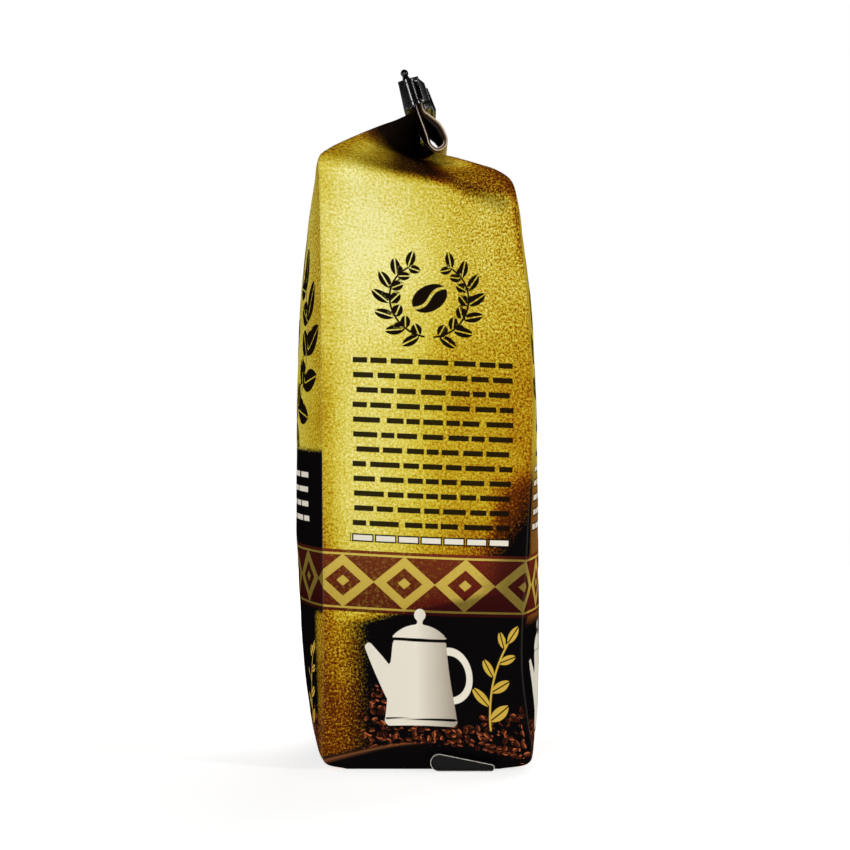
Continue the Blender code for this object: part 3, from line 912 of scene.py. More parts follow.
    def beans(self, tree: bpy.types.NodeTree, colour: Any, place: Any) -> bpy.types.NodeSocket:
        """Roasted beans about 2.5 mm long, each turned its own way, with a dark slit."""
        cells = add(tree, "ShaderNodeTexVoronoi", {"Vector": place, "Scale": 0.5, "Randomness": 0.85})
        hue = add(tree, "ShaderNodeSeparateColor", {0: cells.outputs["Color"]})
        away = add(tree, "ShaderNodeVectorMath", {0: place, 1: cells.outputs["Position"]}, operation="SUBTRACT")
        angle = add(tree, "ShaderNodeMath", {0: hue.outputs[0], 1: math.tau}, operation="MULTIPLY")
        turned = add(tree, "ShaderNodeVectorRotate", {"Vector": away, "Angle": angle}, rotation_type="Z_AXIS")
        sized = add(tree, "ShaderNodeVectorMath", {0: turned, 1: (0.8, 1.25, 0)}, operation="MULTIPLY")
        reach = add(tree, "ShaderNodeVectorMath", {0: sized}, operation="LENGTH").outputs["Value"]
        body = add(tree, "ShaderNodeMath", {0: reach, 1: 0.98}, operation="LESS_THAN")
        sides = add(tree, "ShaderNodeSeparateXYZ", {0: turned})
        slit = add(tree, "ShaderNodeMath", {0: sides.outputs[1]}, operation="ABSOLUTE")
        slit = add(tree, "ShaderNodeMath", {0: slit, 1: 0.13}, operation="GREATER_THAN")
        body = add(tree, "ShaderNodeMath", {0: body, 1: slit}, operation="MULTIPLY")
        many = add(tree, "ShaderNodeMath", {0: hue.outputs[1], 1: self.read(tree, "beans")}, operation="LESS_THAN")
        body = add(tree, "ShaderNodeMath", {0: body, 1: many}, operation="MULTIPLY")
        lit = add(tree, "ShaderNodeMapRange", {0: sides.outputs[1], 1: -0.5, 2: 0.7, 3: 0.0, 4: 1.0})
        warm = add(tree, "ShaderNodeMath", {0: hue.outputs[2], 1: lit}, operation="MULTIPLY")
        tint = self.over(tree, warm.outputs[0], self.bean, self.bean_light)
        return self.over(tree, body.outputs[0], colour, tint)

    def motifs(self, tree: bpy.types.NodeTree, colour: Any, axes: Any) -> bpy.types.NodeSocket:
        """The sprays and the pot, where their depths are above nothing."""
        high = add(tree, "ShaderNodeMath", {0: axes.outputs[1], 1: 84.0}, operation="GREATER_THAN")
        leafy = self.over(tree, high.outputs[0], self.gold_leaf, self.ink)
        depth = add(tree, "ShaderNodeMapRange", {0: self.read(tree, "spray"), 1: -0.07, 2: 0.07, 3: 0.0, 4: 1.0})
        for name, half, in_spray in (("vein", 0.2, True), ("stem", 0.3, False)):
            off = add(tree, "ShaderNodeMath", {0: self.read(tree, name)}, operation="ABSOLUTE")
            fade = (0.0, 1.0) if in_spray else (1.0, 0.0)
            line = add(
                tree, "ShaderNodeMapRange", {0: off, 1: half - 0.07, 2: half + 0.07, 3: fade[0], 4: fade[1]}
            )
            joined = "MULTIPLY" if in_spray else "MAXIMUM"
            if not in_spray:
                line = add(tree, "ShaderNodeMath", {0: line, 1: self.read(tree, "grown")}, operation="MULTIPLY")
            depth = add(tree, "ShaderNodeMath", {0: depth, 1: line}, operation=joined)
        colour = self.over(tree, depth.outputs[0], colour, leafy)
        turn = add(tree, "ShaderNodeMapRange", {0: self.read(tree, "pot_side"), 1: -0.1, 2: 1.0, 3: 0.0, 4: 0.8})
        cream = self.over(tree, turn.outputs[0], self.cream, self.cream_shade)
        for name, ink in (("pot_handle", self.cream), ("pot", cream), ("pot_trim", self.black)):
            field = self.read(tree, name)
            inside = add(tree, "ShaderNodeMapRange", {0: field, 1: -0.07, 2: 0.07, 3: 0.0, 4: 1.0})
            colour = self.over(tree, inside.outputs[0], colour, ink)
        return colour

    def word_bars(self, tree: bpy.types.NodeTree, colour: Any, axes: Any) -> bpy.types.NodeSocket:
        """Plain bars of word length in rows, and one lowest row in cream with a dark rim."""
        level = add(tree, "ShaderNodeMath", {0: axes.outputs[1], 1: self.bar_start}, operation="SUBTRACT")
        level = add(tree, "ShaderNodeMath", {0: level, 1: self.bar_pitch}, operation="DIVIDE")
        row = add(tree, "ShaderNodeMath", {0: level}, operation="FLOOR")
        within = add(tree, "ShaderNodeMath", {0: level}, operation="FRACT")
        within = add(tree, "ShaderNodeMath", {0: within, 1: 0.5}, operation="SUBTRACT")
        within = add(tree, "ShaderNodeMath", {0: within}, operation="ABSOLUTE")
        high = (-self.bar_pitch, self.bar_height / 2)
        rim = add(tree, "ShaderNodeMath", {0: within, 1: high[0], 2: high[1]}, operation="MULTIPLY_ADD")
        # Two sines that vanish at both ends of a row make its words longer and shorter in turn.
        along = self.read(tree, "line")
        words = add(tree, "ShaderNodeMath", {0: along, 1: float(self.words)}, operation="MULTIPLY")
        for turns, size, seed in ((3, 0.5, 1.7), (4, 0.35, 2.9)):
            waves = add(tree, "ShaderNodeMath", {0: row, 1: float(turns)}, operation="FLOORED_MODULO")
            waves = add(tree, "ShaderNodeMath", {0: waves, 1: 1.0}, operation="ADD")
            phase = add(tree, "ShaderNodeMath", {0: waves, 1: along}, operation="MULTIPLY")
            phase = add(tree, "ShaderNodeMath", {0: phase, 1: math.tau}, operation="MULTIPLY")
            wave = add(tree, "ShaderNodeMath", {0: phase}, operation="SINE")
            swing = add(tree, "ShaderNodeMath", {0: row, 1: seed}, operation="MULTIPLY")
            swing = add(tree, "ShaderNodeMath", {0: swing}, operation="SINE")
            swing = add(tree, "ShaderNodeMath", {0: swing, 1: waves}, operation="DIVIDE")
            swing = add(tree, "ShaderNodeMath", {0: swing, 1: size}, operation="MULTIPLY")
            words = add(tree, "ShaderNodeMath", {0: wave, 1: swing, 2: words}, operation="MULTIPLY_ADD")
        gap = add(tree, "ShaderNodeMath", {0: words}, operation="FRACT")
        gap = add(tree, "ShaderNodeMath", {0: gap, 1: 0.5}, operation="SUBTRACT")
        gap = add(tree, "ShaderNodeMath", {0: gap}, operation="ABSOLUTE")
        word = 51.0 / self.words
        gap = add(tree, "ShaderNodeMath", {0: gap, 1: -word, 2: word * 0.415}, operation="MULTIPLY_ADD")
        depth = add(tree, "ShaderNodeMath", {0: rim, 1: gap}, operation="MINIMUM")
        depth = add(tree, "ShaderNodeMath", {0: depth, 1: self.read(tree, "bars")}, operation="MINIMUM")
        pale_row = add(tree, "ShaderNodeMath", {0: axes.outputs[1], 1: self.bar_start + self.bar_pitch}, operation="LESS_THAN")
        on_dark = add(tree, "ShaderNodeMath", {0: self.read(tree, "dark"), 1: 0.6}, operation="GREATER_THAN")
        on_red = add(tree, "ShaderNodeMath", {0: self.read(tree, "maroon"), 1: 0.4}, operation="GREATER_THAN")
        pale = add(tree, "ShaderNodeMath", {0: pale_row, 1: on_dark}, operation="MAXIMUM")
        pale = add(tree, "ShaderNodeMath", {0: pale, 1: on_red}, operation="MAXIMUM")
        around = add(tree, "ShaderNodeMapRange", {0: depth, 1: -0.5, 2: -0.34, 3: 0.0, 4: 1.0})
        around = add(tree, "ShaderNodeMath", {0: around, 1: pale}, operation="MULTIPLY")
        colour = self.over(tree, around.outputs[0], colour, self.black)
        inside = add(tree, "ShaderNodeMapRange", {0: depth, 1: -0.08, 2: 0.08, 3: 0.0, 4: 0.98})
        tint = self.over(tree, pale.outputs[0], self.ink, self.cream)
        return self.over(tree, inside.outputs[0], colour, tint)


@dataclass(frozen=True)
class SealFilm:
    """The bare laminate of the bottom seal: black outside, with a pale line where its plies are cut."""

    black: str = "#070606"
    cut: str = "#b9b2a8"

    def materials(self) -> tuple[bpy.types.Material, bpy.types.Material]:
        """Builds the seal's two materials.

        Returns:
            The black film and its cut edge.
        """
        film, tree, shader = new_material("black polypropylene laminate")
        place = add(tree, "ShaderNodeTexCoord").outputs["Object"]
        # Crinkles about 2 mm wide, from where the jaws pressed the plies together.
        crinkle = add(tree, "ShaderNodeTexNoise", {"Vector": place, "Scale": 480.0, "Detail": 2.0})
        bump = add(tree, "ShaderNodeBump", {"Height": crinkle, "Strength": 0.3, "Distance": 0.0003})
        tree.links.new(bump.outputs[0], shader.inputs["Normal"])
        shader.inputs["Base Color"].default_value = linear(self.black)
        shader.inputs["Roughness"].default_value = 0.45
        shader.inputs["Specular IOR Level"].default_value = 0.1
        edge, tree, shader = new_material("cut edge of laminate")
        place = add(tree, "ShaderNodeTexCoord").outputs["Object"]
        # Frayed plies: dark specks about half a millimetre wide.
        specks = add(tree, "ShaderNodeTexNoise", {"Vector": place, "Scale": 1800.0})
        share = add(tree, "ShaderNodeMapRange", {0: specks.outputs["Fac"], 1: 0.5, 2: 0.7, 3: 0.0, 4: 0.6})
        fray = add(tree, "ShaderNodeMix", {"Factor": share}, data_type="RGBA")
        fray.inputs[6].default_value = linear(self.cut)
        fray.inputs[7].default_value = linear(self.black)
        tree.links.new(fray.outputs[2], shader.inputs["Base Color"])
        shader.inputs["Roughness"].default_value = 0.6
        return film, edge


@dataclass(frozen=True)
class MouldedPlastic:
    """Black injection-moulded polypropylene, polished in the mould: near-black with sharp small highlights."""

    colour: str = "#050506"
    roughness: float = 0.15

    def material(self) -> bpy.types.Material:
        """Builds the clip's material.

        Returns:
            The material.
        """
        material, tree, shader = new_material("moulded black polypropylene")
        place = add(tree, "ShaderNodeTexCoord").outputs["Object"]
        # Flow marks a few millimetres long vary the gloss, and a fine ripple breaks the highlights.
        flow = add(tree, "ShaderNodeTexNoise", {"Vector": place, "Scale": 260.0, "Detail": 2.0})
        gloss = add(
            tree,
            "ShaderNodeMapRange",
            {0: flow.outputs["Fac"], 1: 0.3, 2: 0.7, 3: self.roughness - 0.03, 4: self.roughness + 0.05},
        )
        bump = add(tree, "ShaderNodeBump", {"Height": flow.outputs["Fac"], "Strength": 0.08, "Distance": 0.0002})
        tree.links.new(gloss.outputs[0], shader.inputs["Roughness"])
        tree.links.new(bump.outputs[0], shader.inputs["Normal"])
        shader.inputs["Base Color"].default_value = linear(self.colour)
        shader.inputs["IOR"].default_value = 1.49
        shader.inputs["Specular IOR Level"].default_value = 0.5
        return material


@dataclass(frozen=True)
class StudioFloor:
    """A white paper sweep that glows a little, as on a light table, and more so far away."""

    colour: str = "#f2f2f2"

    def material(self) -> bpy.types.Material:
        """Builds the floor's material.

        Returns:
            The material.
        """
        material, tree, shader = new_material("lit white paper sweep")
        place = add(tree, "ShaderNodeTexCoord").outputs["Object"]
        away = add(tree, "ShaderNodeVectorMath", {0: place}, operation="LENGTH").outputs["Value"]
        glow = add(tree, "ShaderNodeMapRange", {0: away, 1: 0.1, 2: 0.6, 3: 0.72, 4: 1.05})
        tree.links.new(glow.outputs[0], shader.inputs["Emission Strength"])
        shader.inputs["Emission Color"].default_value = (1, 1, 1, 1)
        shader.inputs["Base Color"].default_value = linear(self.colour)
        shader.inputs["Roughness"].default_value = 0.9
        shader.inputs["Specular IOR Level"].default_value = 0.1
        return material


# ---- The bag --------------------------------------------------------------------------------------


@dataclass(frozen=True)
class Crease:
    """A valley in a gusset's film.

    Attributes:
        points: Its way, across the gusset and up the web in millimetres.
        depth: How deep it lies.
        spread: Half its width.
        shade: How dark the painted shade along it is.
    """

    points: tuple[tuple[float, float], ...]
    depth: float
    spread: float
    shade: float

    def away(self, p: np.ndarray) -> np.ndarray:
        """How far points lie from the crease."""
        return -together(*[bar(p, start, stop, 0, 0) for start, stop in zip(self.points, self.points[1:])])


CREASES = (
    Crease(((-6.6, 209.5), (-3.5, 200.2), (-2.8, 193.2), (-1.8, 188.6), (-0.6, 186.4)), 0.35, 0.55, 0.9),  # its middle
    Crease(((16.5, 210.4), (7.3, 194.5), (9.8, 187.3), (19.5, 181.1), (27.1, 177.3)), 0.6, 2.6, 0.42),  # its rear
    Crease(((-32.0, 185.2), (-14.5, 187.4), (-5.2, 188.6), (-1.2, 187.0)), -0.2, 1.5, 0.0),  # the lit lip
    Crease(((-31.0, 195.3), (-26.4, 191.6)), 0.25, 0.6, 0.35),
    Crease(((-30.0, 198.0), (-25.8, 194.6)), 0.2, 0.5, 0.3),
)


@dataclass
class FilmBag:
    """The bag: one fine skin from the sole to the cut end of its mouth.

    Attributes:
        form: The skin's shape.
        design: What is printed on it.
        finish: Its film.
        lump: How far the beans inside press the film out, in millimetres.
        dent: How far the wider dents go, in millimetres.
        pale_edge_width: How wide the pale line along its creases is, in millimetres: part scuffed print, part painted
            highlight.
    """

    form: FilmForm
    design: PrintDesign
    finish: PrintedFilm
    lump: float = 0.14
    dent: float = 0.4
    pale_edge_width: float = 0.42

    def build(self) -> bpy.types.Object:
        """Makes the skin, presses its dents and creases in, and prints it.

        Returns:
            The piece that stands for the bag's solid.
        """
        skin = self.form.skin()
        mesh = self.loft(skin.points)
        self.press(mesh, skin)
        self.print_on(mesh, skin)
        mesh.materials.append(self.finish.material())
        obj = bpy.data.objects.new("film_bag", mesh)
        bpy.context.scene.collection.objects.link(obj)
        return place_piece(obj, "printed_film", "bag")

    def loft(self, points: np.ndarray) -> bpy.types.Mesh:
        """The closed skin as a mesh in metres: quads row by row, then the sole and the mouth's cut end."""
        rows, columns = points.shape[:2]
        index = np.arange(rows * columns).reshape(rows, columns)
        after = np.roll(index, -1, axis=1)
        quads = np.stack([index[:-1], after[:-1], after[1:], index[1:]], axis=2).reshape(-1, 4)
        mesh = bpy.data.meshes.new("film_bag")
        caps = [index[0][::-1].tolist(), index[-1].tolist()]
        mesh.from_pydata((points.reshape(-1, 3) * MM).tolist(), [], quads.tolist() + caps)
        mesh.update()
        return mesh

    def press(self, mesh: bpy.types.Mesh, skin: Skin) -> None:
        """Moves the skin along its normals: lumps over beans, wider dents, and the creases at the top."""
        count = len(mesh.vertices)
        places = np.empty(count * 3)
        normals = np.empty(count * 3)
        mesh.vertices.foreach_get("co", places)
        mesh.vertices.foreach_get("normal", normals)
        places, normals = places.reshape(-1, 3), normals.reshape(-1, 3)
        soft = np.array([noise.noise(Vector(p) * 150) for p in places]).reshape(skin.height.shape)
        wide = np.array([noise.noise(Vector(p) * 42 + Vector((3, 7, 1))) for p in places]).reshape(skin.height.shape)
        inner = smooth_step(0.0, 0.12, skin.share) * smooth_step(0.0, 0.12, 1 - skin.share)
        full = smooth_step(4, 14, skin.height) * smooth_step(190, 170, skin.height) * inner
        move = (self.lump * soft + self.dent * wide) * full + self.creases(skin)
        move[skin.below - 2 :] = 0
        mesh.vertices.foreach_set("co", (places + normals * move.reshape(-1, 1) * MM).ravel())
        mesh.update()

    def gusset_places(self, skin: Skin) -> tuple[np.ndarray, np.ndarray]:
        """Where each vertex lies on its gusset, mirrored on the left one, and which vertices are on a gusset."""
        across = (skin.share - 0.5) * self.form.gusset_width
        across = np.where(skin.face == Panel.LEFT.value, -across, across)
        places = np.stack(np.broadcast_arrays(across[None], skin.height), axis=-1)
        return places, np.broadcast_to(skin.face % 2 == 1, skin.height.shape)

    def creases(self, skin: Skin) -> np.ndarray:
        """Valleys pressed in at the top of the gussets, where the film folds in towards the mouth."""
        places, on_gusset = self.gusset_places(skin)
        move = np.zeros(skin.height.shape)
        for crease in CREASES:
            move -= crease.depth * np.exp(-((crease.away(places) / crease.spread) ** 2))
        return np.where(on_gusset, move, 0)

    def wear(self, skin: Skin) -> dict[str, np.ndarray]:
        """Where the film goes pale along its folds, part scuffed print and part painted highlight, and where painted
        shade
        makes it black: in the folds at its top and inside its mouth.

        Args:
            skin: The skin.

        Returns:
            The fields "rubbed_and_highlit" and "painted_shade", from 0 to 1.
        """
        places, on_gusset = self.gusset_places(skin)
        across, height = places[..., 0], places[..., 1]
        along = np.where(skin.face == Panel.LEFT.value, 1 - skin.share, skin.share)[None]
        width = np.where(skin.face % 2 == 1, self.form.gusset_width, self.form.panel_width)
        edge = np.broadcast_to(np.minimum(skin.share, 1 - skin.share) * width, height.shape)
        row = np.arange(len(height))[:, None]
        top = smooth_step(skin.below - 44, skin.below - 30, row)
        rear = (skin.face == Panel.BACK.value) | (on_gusset & (along > 0.5))
        # Pale along the creases, most on the rear ones near the top: part scuffed print, part painted highlight.
        edge_paleness = 0.05 + 0.85 * top * rear
        rubbed_and_highlit = np.exp(-((edge / (self.pale_edge_width * (0.6 + 0.9 * top))) ** 2)) * edge_paleness
        # Painted shade on the gussets' top, where the film folds in towards the mouth.
        roof = self.design.painted_shade(across, height) ** 2
        # Painted shade along the creases.
        crease_shade = np.zeros(height.shape)
        for crease in CREASES:
            crease_shade = np.maximum(crease_shade, crease.shade * np.exp(-((crease.away(places) / crease.spread) ** 2)))
        painted_shade = np.where(on_gusset, np.maximum(roof, crease_shade), 0)
        # The mouth goes up into the clip, falls behind it and rises again as the loop's outer flank.
        lift = skin.points[skin.below :, 0, 2]
        turn, sole = skin.below + np.argmax(lift), skin.below + np.argmin(lift)
        falling, rising = (row > turn) & (row <= sole), row > sole
        bend = np.zeros(height.shape)
        bend[skin.below :] = smooth_step(lift.min() + 2.6, lift.min() + 0.8, lift)[:, None]
        # Painted highlight on the mouth's fold edges and on the loop's bend, with some scuffed print.
        pale = np.where(rising, 0.55 * smooth_step(0.3, 0.5, along), 0.85 * falling * smooth_step(0.6, 0.72, along))
        pale = np.where(on_gusset, np.maximum(pale, 0.5 * bend), np.where(row <= turn, 0, 0.2))
        # Painted shade inside the mouth: the film that rises into the clip and the inside of the loop go near-black.
        shut = np.where(rising, smooth_step(0.5, 0.3, along), 1.0) * (1 - 0.5 * bend)
        shut = np.where(on_gusset, shut, (skin.face == Panel.FRONT.value)[None] & (row > turn))
        mouth = row >= skin.below
        return {"rubbed_and_highlit": np.where(mouth, pale, rubbed_and_highlit), "painted_shade": 0.97 * np.clip(np.where(mouth, shut, painted_shade), 0, 1)}

    def print_on(self, mesh: bpy.types.Mesh, skin: Skin) -> None:
        """Gives each face corner its place on the film's web, the print's depths and its painted light and shade."""
        rows, columns = skin.height.shape
        quads = (rows - 1) * columns
        loops = len(mesh.loops)
        web = np.zeros((loops, 2))
        fields: dict[str, np.ndarray] = {}
        wear = self.wear(skin)
        start = 0.0
        for face in Panel:
            own = np.flatnonzero(skin.face == face.value)
            around = np.append(own, (own[-1] + 1) % columns)
            width = self.form.panel_width if face in (Panel.FRONT, Panel.BACK) else self.form.gusset_width
            height = skin.height[:, around]
            across = np.broadcast_to((np.append(skin.share[own], 1.0) - 0.5) * width, height.shape)
            printed_and_painted = self.design.printed_and_painted(face, across, height)
            printed_and_painted |= {name: values[:, around] for name, values in wear.items()}
            k = np.arange(len(own))[None]
            for corner, (up, on) in enumerate(((0, 0), (0, 1), (1, 1), (1, 0))):
                loop = (np.arange(rows - 1)[:, None] * columns + own[None]) * 4 + corner
                row = np.arange(rows - 1)[:, None] + up
                web[loop, 0] = (start + across + width / 2)[row, k + on]
                web[loop, 1] = height[row, k + on]
                for name, ink in printed_and_painted.items():
                    fields.setdefault(name, np.zeros(loops))[loop] = ink[row, k + on]
            start += width
        for name, value in (("dark", 1.0), ("spray", -9.0), ("stem", 9.0), ("pot", -9.0), ("bars", -9.0)):
            fields[name][quads * 4 :] = value
        for name in ("pot_handle", "pot_trim"):
            fields[name][quads * 4 :] = -9.0
        layer = mesh.uv_layers.new(name="web")
        layer.uv.foreach_set("vector", (web * MM).astype(np.float32).ravel())
        for name, values in fields.items():
            mesh.attributes.new(name, "FLOAT", "CORNER").data.foreach_set("value", values.astype(np.float32))
        mesh.polygons.foreach_set("use_smooth", np.arange(len(mesh.polygons)) < quads)
        mesh.set_sharp_from_angle(angle=math.radians(50))


@dataclass
class BottomSeal:
    """The bag's bottom seal: plies pressed flat and folded under the sole, with their cut ends at both sides.

    Attributes:
        finish: Its films.
        half: Half its length, in millimetres, as every size here.
        fold: The seal's front, where it turns over, and the radius there.
        edge: The seal's back and the radius there.
        foot: How high it lies over the table.
        rim: How wide the pale cut edge is.
        recess: How deep the plies lie behind it.
    """

    finish: SealFilm
    half: float = 43.4
    fold: tuple[float, float] = (3.9, 2.7)
    edge: tuple[float, float] = (23.6, 1.1)
    foot: float = 0.1
    rim: float = 0.22
    recess: float = 1.4

    def outline(self, inset: float) -> list[tuple[float, float]]:
        """The end's outline as (y, z), a drop with a full round front and a thin back.

        Args:
            inset: How far inside the outer one it lies.

        Returns:
            Its points, anticlockwise as seen from +X.
        """
        points = []
        front = (self.fold[0] + self.fold[1], self.foot + self.fold[1])
        back = (self.edge[0] - self.edge[1], self.foot + self.edge[1])
        for (y, z), radius, first, last in ((front, self.fold[1], 80, 270), (back, self.edge[1], -90, 80)):
            for i in range(13):
                turn = math.radians(first + (last - first) * i / 12)
                points.append((y + (radius - inset) * math.cos(turn), z + (radius - inset) * math.sin(turn)))
        return points

    def build(self) -> bpy.types.Object:
        """Makes the seal.

        Returns:
            The piece, which stands for part of the bag's solid.
        """
        loops = []
        for x, inset in (
            (-self.half + self.recess, self.rim),
            (-self.half, self.rim),
            (-self.half, 0.0),
            (self.half, 0.0),
            (self.half, self.rim),
            (self.half - self.recess, self.rim),
        ):
            loops.append([(x * MM, y * MM, z * MM) for y, z in self.outline(inset)])
        count = len(loops[0])
        faces: list[list[int]] = []
        for i in range(len(loops) - 1):
            for j in range(count):
                k = (j + 1) % count
                faces.append([i * count + j, i * count + k, (i + 1) * count + k, (i + 1) * count + j])
        faces += [list(range(count))[::-1], [5 * count + j for j in range(count)]]
        mesh = bpy.data.meshes.new("bottom_seal")
        mesh.from_pydata([p for loop in loops for p in loop], [], faces)
        for material in self.finish.materials():
            mesh.materials.append(material)
        cut = [i // count in (1, 3) for i in range(len(faces))]
        mesh.polygons.foreach_set("material_index", np.array(cut, np.int32))
        form = bmesh.new()
        form.from_mesh(mesh)
        bmesh.ops.recalc_face_normals(form, faces=form.faces)
        form.to_mesh(mesh)
        form.free()
        mesh.set_sharp_from_angle(angle=math.radians(35))
        obj = bpy.data.objects.new("bottom_seal", mesh)
        bpy.context.scene.collection.objects.link(obj)
        return place_piece(obj, "printed_film", "bag")


# ---- The clip -------------------------------------------------------------------------------------


@dataclass(frozen=True)
class TurnedPin:
    """The hinge pin's outline, in millimetres up the clip: a shaft, a waist and a ball.

    Attributes:
        foot: The shaft's lower end.
        neck: Where the knob starts.
        top: The knob's top.
        shaft: The shaft's radius.
        knob: The radius of the ball and of the knob's collar.
        waist: The radius of the waist.
        rise: How far the waist lies above the neck.
        places: Where the pin stands along and across the clip.
    """

    foot: float = -3.2
    neck: float = 5.6
    top: float = 8.5
    shaft: float = 1.0
    knob: float = 1.2
    waist: float = 0.8
    rise: float = 0.9
    place: tuple[float, float] = (51.55, -1.6)

    def tree(self, plastic: bpy.types.Material) -> bpy.types.NodeTree:
        """A node tree that turns the outline round the pin's axis.

        Args:
            plastic: The pin's material.

        Returns:
            The tree, with an input for each size.
        """
        tree = bpy.data.node_groups.new("turned pin", "GeometryNodeTree")
        tree.interface.new_socket(name="Geometry", in_out="OUTPUT", socket_type="NodeSocketGeometry")
        for size in ("foot", "neck", "top", "shaft", "knob", "waist", "rise"):
            tree.interface.new_socket(name=size, in_out="INPUT", socket_type="NodeSocketFloat")
        size = tree.nodes.new("NodeGroupInput").outputs
        start = add(tree, "ShaderNodeCombineXYZ", {"Z": size["foot"]})
        stop = add(tree, "ShaderNodeCombineXYZ", {"Z": size["top"]})
        axis = add(tree, "GeometryNodeCurvePrimitiveLine", {"Start": start, "End": stop})
        fine = add(tree, "GeometryNodeResampleCurve", {"Curve": axis, "Count": 160})
        up = add(tree, "ShaderNodeSeparateXYZ", {0: add(tree, "GeometryNodeInputPosition")}).outputs["Z"]
        above = add(tree, "ShaderNodeMath", {0: up, 1: size["neck"]}, operation="SUBTRACT")
        cone = add(tree, "ShaderNodeMapRange", {0: above, 2: size["rise"], 3: size["knob"], 4: size["waist"]})
        middle = add(tree, "ShaderNodeMath", {0: size["top"], 1: size["knob"]}, operation="SUBTRACT")
        off = add(tree, "ShaderNodeMath", {0: up, 1: middle}, operation="SUBTRACT")
        off = add(tree, "ShaderNodeMath", {0: off, 1: off}, operation="MULTIPLY")
        square = add(tree, "ShaderNodeMath", {0: size["knob"], 1: size["knob"]}, operation="MULTIPLY")
        ball = add(tree, "ShaderNodeMath", {0: square, 1: off}, operation="SUBTRACT")
        ball = add(tree, "ShaderNodeMath", {0: ball, 1: 1e-9}, operation="MAXIMUM")
        ball = add(tree, "ShaderNodeMath", {0: ball}, operation="SQRT")
        high = add(tree, "ShaderNodeMath", {0: above, 1: size["rise"]}, operation="GREATER_THAN")
        over = add(tree, "ShaderNodeMath", {0: ball, 1: size["waist"]}, operation="MAXIMUM")
        round_top = add(tree, "ShaderNodeMath", {0: up, 1: middle}, operation="GREATER_THAN")
        over = add(tree, "ShaderNodeMix", {"Factor": round_top, "A": over, "B": ball})
        knob = add(tree, "ShaderNodeMix", {"Factor": high, "A": cone, "B": over})
        in_knob = add(tree, "ShaderNodeMath", {0: above, 1: 0.0}, operation="GREATER_THAN")
        radius = add(tree, "ShaderNodeMix", {"Factor": in_knob, "A": size["shaft"], "B": knob})
        shaped = add(tree, "GeometryNodeSetCurveRadius", {"Curve": fine, "Radius": radius})
        ring = add(tree, "GeometryNodeCurvePrimitiveCircle", {"Resolution": 48, "Radius": 1.0})
        scaled = {"Curve": shaped, "Profile Curve": ring, "Fill Caps": True}
        body = add(tree, "GeometryNodeCurveToMesh", scaled)
        if "Scale" in body.inputs:
            tree.links.new(add(tree, "GeometryNodeInputRadius").outputs[0], body.inputs["Scale"])
        real = add(tree, "GeometryNodeRealizeInstances", {"Geometry": body})
        done = add(tree, "GeometryNodeSetMaterial", {"Geometry": real, "Material": plastic})
        add(tree, "NodeGroupOutput", {0: done})
        return tree

    def build(self, clip: ClipFrame, plastic: bpy.types.Material) -> bpy.types.Object:
        """Makes the pin.

        Args:
            clip: Where the clip sits.
            plastic: The pin's material.

        Returns:
            The piece.
        """
        obj = bpy.data.objects.new("pin", bpy.data.meshes.new("pin"))
        bpy.context.scene.collection.objects.link(obj)
        turned = obj.modifiers.new("turned pin", "NODES")
        turned.node_group = self.tree(plastic)
        for item in turned.node_group.interface.items_tree:
            if item.in_out == "INPUT":
                turned[item.identifier] = getattr(self, item.name) * MM
        obj.matrix_world = clip.matrix() @ Matrix.Translation(Vector((*self.place, 0)) * MM)
        made = plain_copy(obj, "moulded_pin")
        made.data.polygons.foreach_set("use_smooth", [True] * len(made.data.polygons))
        made.data.set_sharp_from_angle(angle=math.radians(40))
        return made


@dataclass
class BarClip:
    """The clip: two arms and a pin as they came out of the mould, with every edge a little rounded.

    Attributes:
        clip: Where it sits.
        finish: Its plastic.
        pin: Its hinge pin.
        edge: The radius of its edges, in millimetres.
    """

    clip: ClipFrame
    finish: MouldedPlastic
    pin: TurnedPin
    edge: float = 0.14

    def build(self) -> None:
        """Makes a rounded piece for each of the clip's solids."""
        plastic = self.finish.material()
        for name in ("clip_front_arm", "clip_back_arm"):
            place_piece(self.moulded(name, plastic), "clip_plastic", name)
        place_piece(self.pin.build(self.clip, plastic), "clip_plastic", "clip_pin")

    def moulded(self, name: str, plastic: bpy.types.Material) -> bpy.types.Object:
        """One solid's shape with rounded edges and smooth rounds.

        Args:
            name: The solid's node.
            plastic: Its material.

        Returns:
            The piece.
        """
        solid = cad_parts[name]
        mesh = solid.data.copy()
        form = bmesh.new()
        form.from_mesh(mesh)
        bmesh.ops.remove_doubles(form, verts=form.verts, dist=1e-6)
        bmesh.ops.dissolve_limit(
            form, angle_limit=math.radians(1), verts=form.verts, edges=form.edges, delimit={"NORMAL"}
        )
        for face in form.faces:
            face.smooth = True
        form.to_mesh(mesh)
        form.free()
        mesh.materials.clear()
        mesh.materials.append(plastic)
        obj = bpy.data.objects.new(name.replace("clip", "moulded"), mesh)
        bpy.context.scene.collection.objects.link(obj)
        bevel = obj.modifiers.new("edges", "BEVEL")
        bevel.width = self.edge * MM
        bevel.segments = 2
        bevel.limit_method = "ANGLE"
        bevel.angle_limit = math.radians(32)
        bevel.use_clamp_overlap = True
        obj.modifiers.new("flats", "WEIGHTED_NORMAL").keep_sharp = True
        return plain_copy(obj, obj.name)


# ---- The studio -----------------------------------------------------------------------------------


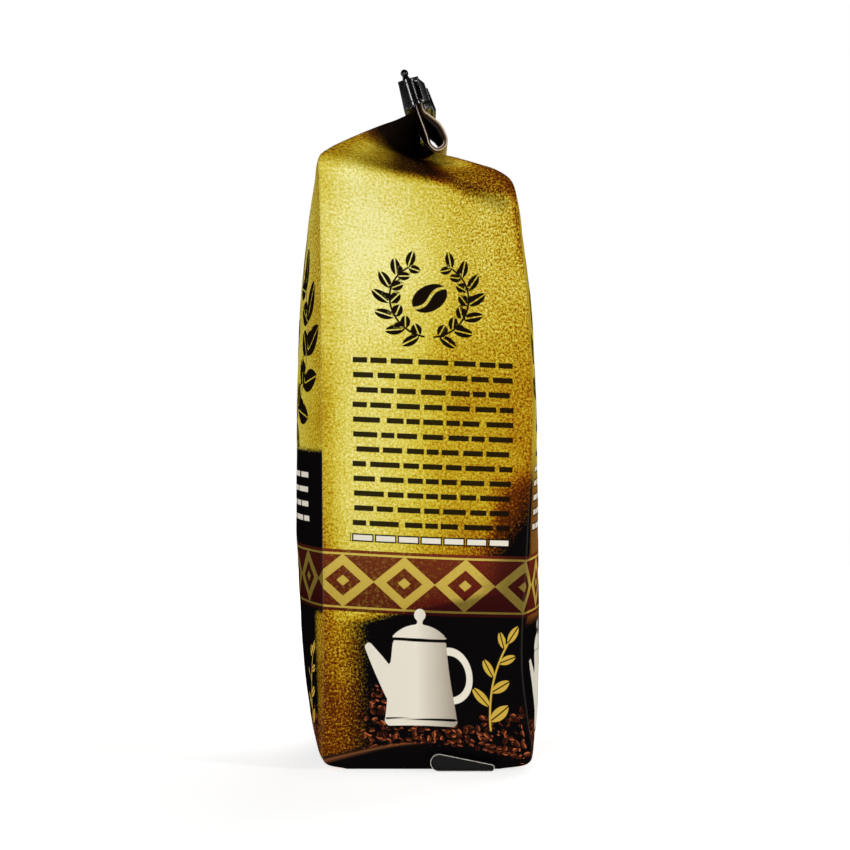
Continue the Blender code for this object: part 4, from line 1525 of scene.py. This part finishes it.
@dataclass
class Studio:
    """A pale floor, soft lights and the camera."""

    floor: StudioFloor
    sight: float = 0.9
    elevation: float = 1.5
    azimuth: float = 90.0
    frame_width: float = 0.2588
    aim: tuple[float, float, float] = (0.0435, 0.0023, 0.106)

    def build(self) -> None:
        """Makes the floor, the lights, the world and the camera."""
        scene = bpy.context.scene
        scene.view_settings.view_transform = "Standard"
        bpy.ops.mesh.primitive_plane_add(size=1.6, location=(0, 0, 0))
        sweep = bpy.context.active_object
        sweep.name = "floor"
        sweep.data.materials.append(self.floor.material())
        self.world()
        self.lamp("key", (1.3, -0.85, 0.55), 0.75, 2.6)
        self.lamp("left strip", (1.5, -0.3, 0.14), 0.45, 8.1, 0.24)
        self.lamp("right strip", (0.75, 1.35, 0.5), 0.5, 7.0, 0.22)
        self.lamp("back", (-1.3, 0.5, 0.7), 1.0, 9.0)
        self.lamp("front", (-0.7, -1.3, 0.6), 1.0, 3.0)
        self.camera()

    def world(self) -> None:
        """A white backdrop that itself gives only a little even light."""
        world = bpy.data.worlds.new("studio")
        bpy.context.scene.world = world
        world.use_nodes = True
        tree = world.node_tree
        path = add(tree, "ShaderNodeLightPath")
        strength = add(tree, "ShaderNodeMapRange", {0: path.outputs["Is Camera Ray"], 3: 0.05, 4: 1.0})
        tree.nodes["Background"].inputs["Color"].default_value = (1, 1, 1, 1)
        tree.links.new(strength.outputs[0], tree.nodes["Background"].inputs["Strength"])

    def lamp(
        self, name: str, place: tuple[float, float, float], height: float, watts: float, width: float = 0.0
    ) -> None:
        """Adds a soft light that looks at the bag's middle, square unless it has a width of its own."""
        light = bpy.data.lights.new(name, "AREA")
        light.shape = "RECTANGLE"
        light.size = width or height
        light.size_y = height
        light.energy = watts
        obj = bpy.data.objects.new(name, light)
        obj.location = place
        obj.rotation_euler = (Vector(place) - Vector((0, 0, 0.1))).to_track_quat("Z", "Y").to_euler()
        bpy.context.scene.collection.objects.link(obj)

    def camera(self) -> None:
        """Puts the camera square on to the +X gusset."""
        turn, rise = math.radians(self.azimuth), math.radians(self.elevation)
        back = Vector((math.sin(turn) * math.cos(rise), -math.cos(turn) * math.cos(rise), math.sin(rise)))
        lens = bpy.data.cameras.new("camera")
        lens.sensor_width = 36
        lens.lens = 36 * self.sight / self.frame_width
        lens.clip_start = 0.01
        obj = bpy.data.objects.new("camera", lens)
        obj.location = Vector(self.aim) + back * self.sight
        obj.rotation_euler = back.to_track_quat("Z", "Y").to_euler()
        bpy.context.scene.collection.objects.link(obj)
        bpy.context.scene.camera = obj


def main() -> None:
    """Builds the bag, its seal, its clip and the studio."""
    logging.basicConfig(level=logging.INFO, format="%(message)s")
    FilmBag(FilmForm(ClipFrame()), PrintDesign(), PrintedFilm()).build()
    BottomSeal(SealFilm()).build()
    BarClip(ClipFrame(), MouldedPlastic(), TurnedPin()).build()
    Studio(StudioFloor()).build()


if __name__ == "__main__":
    main()
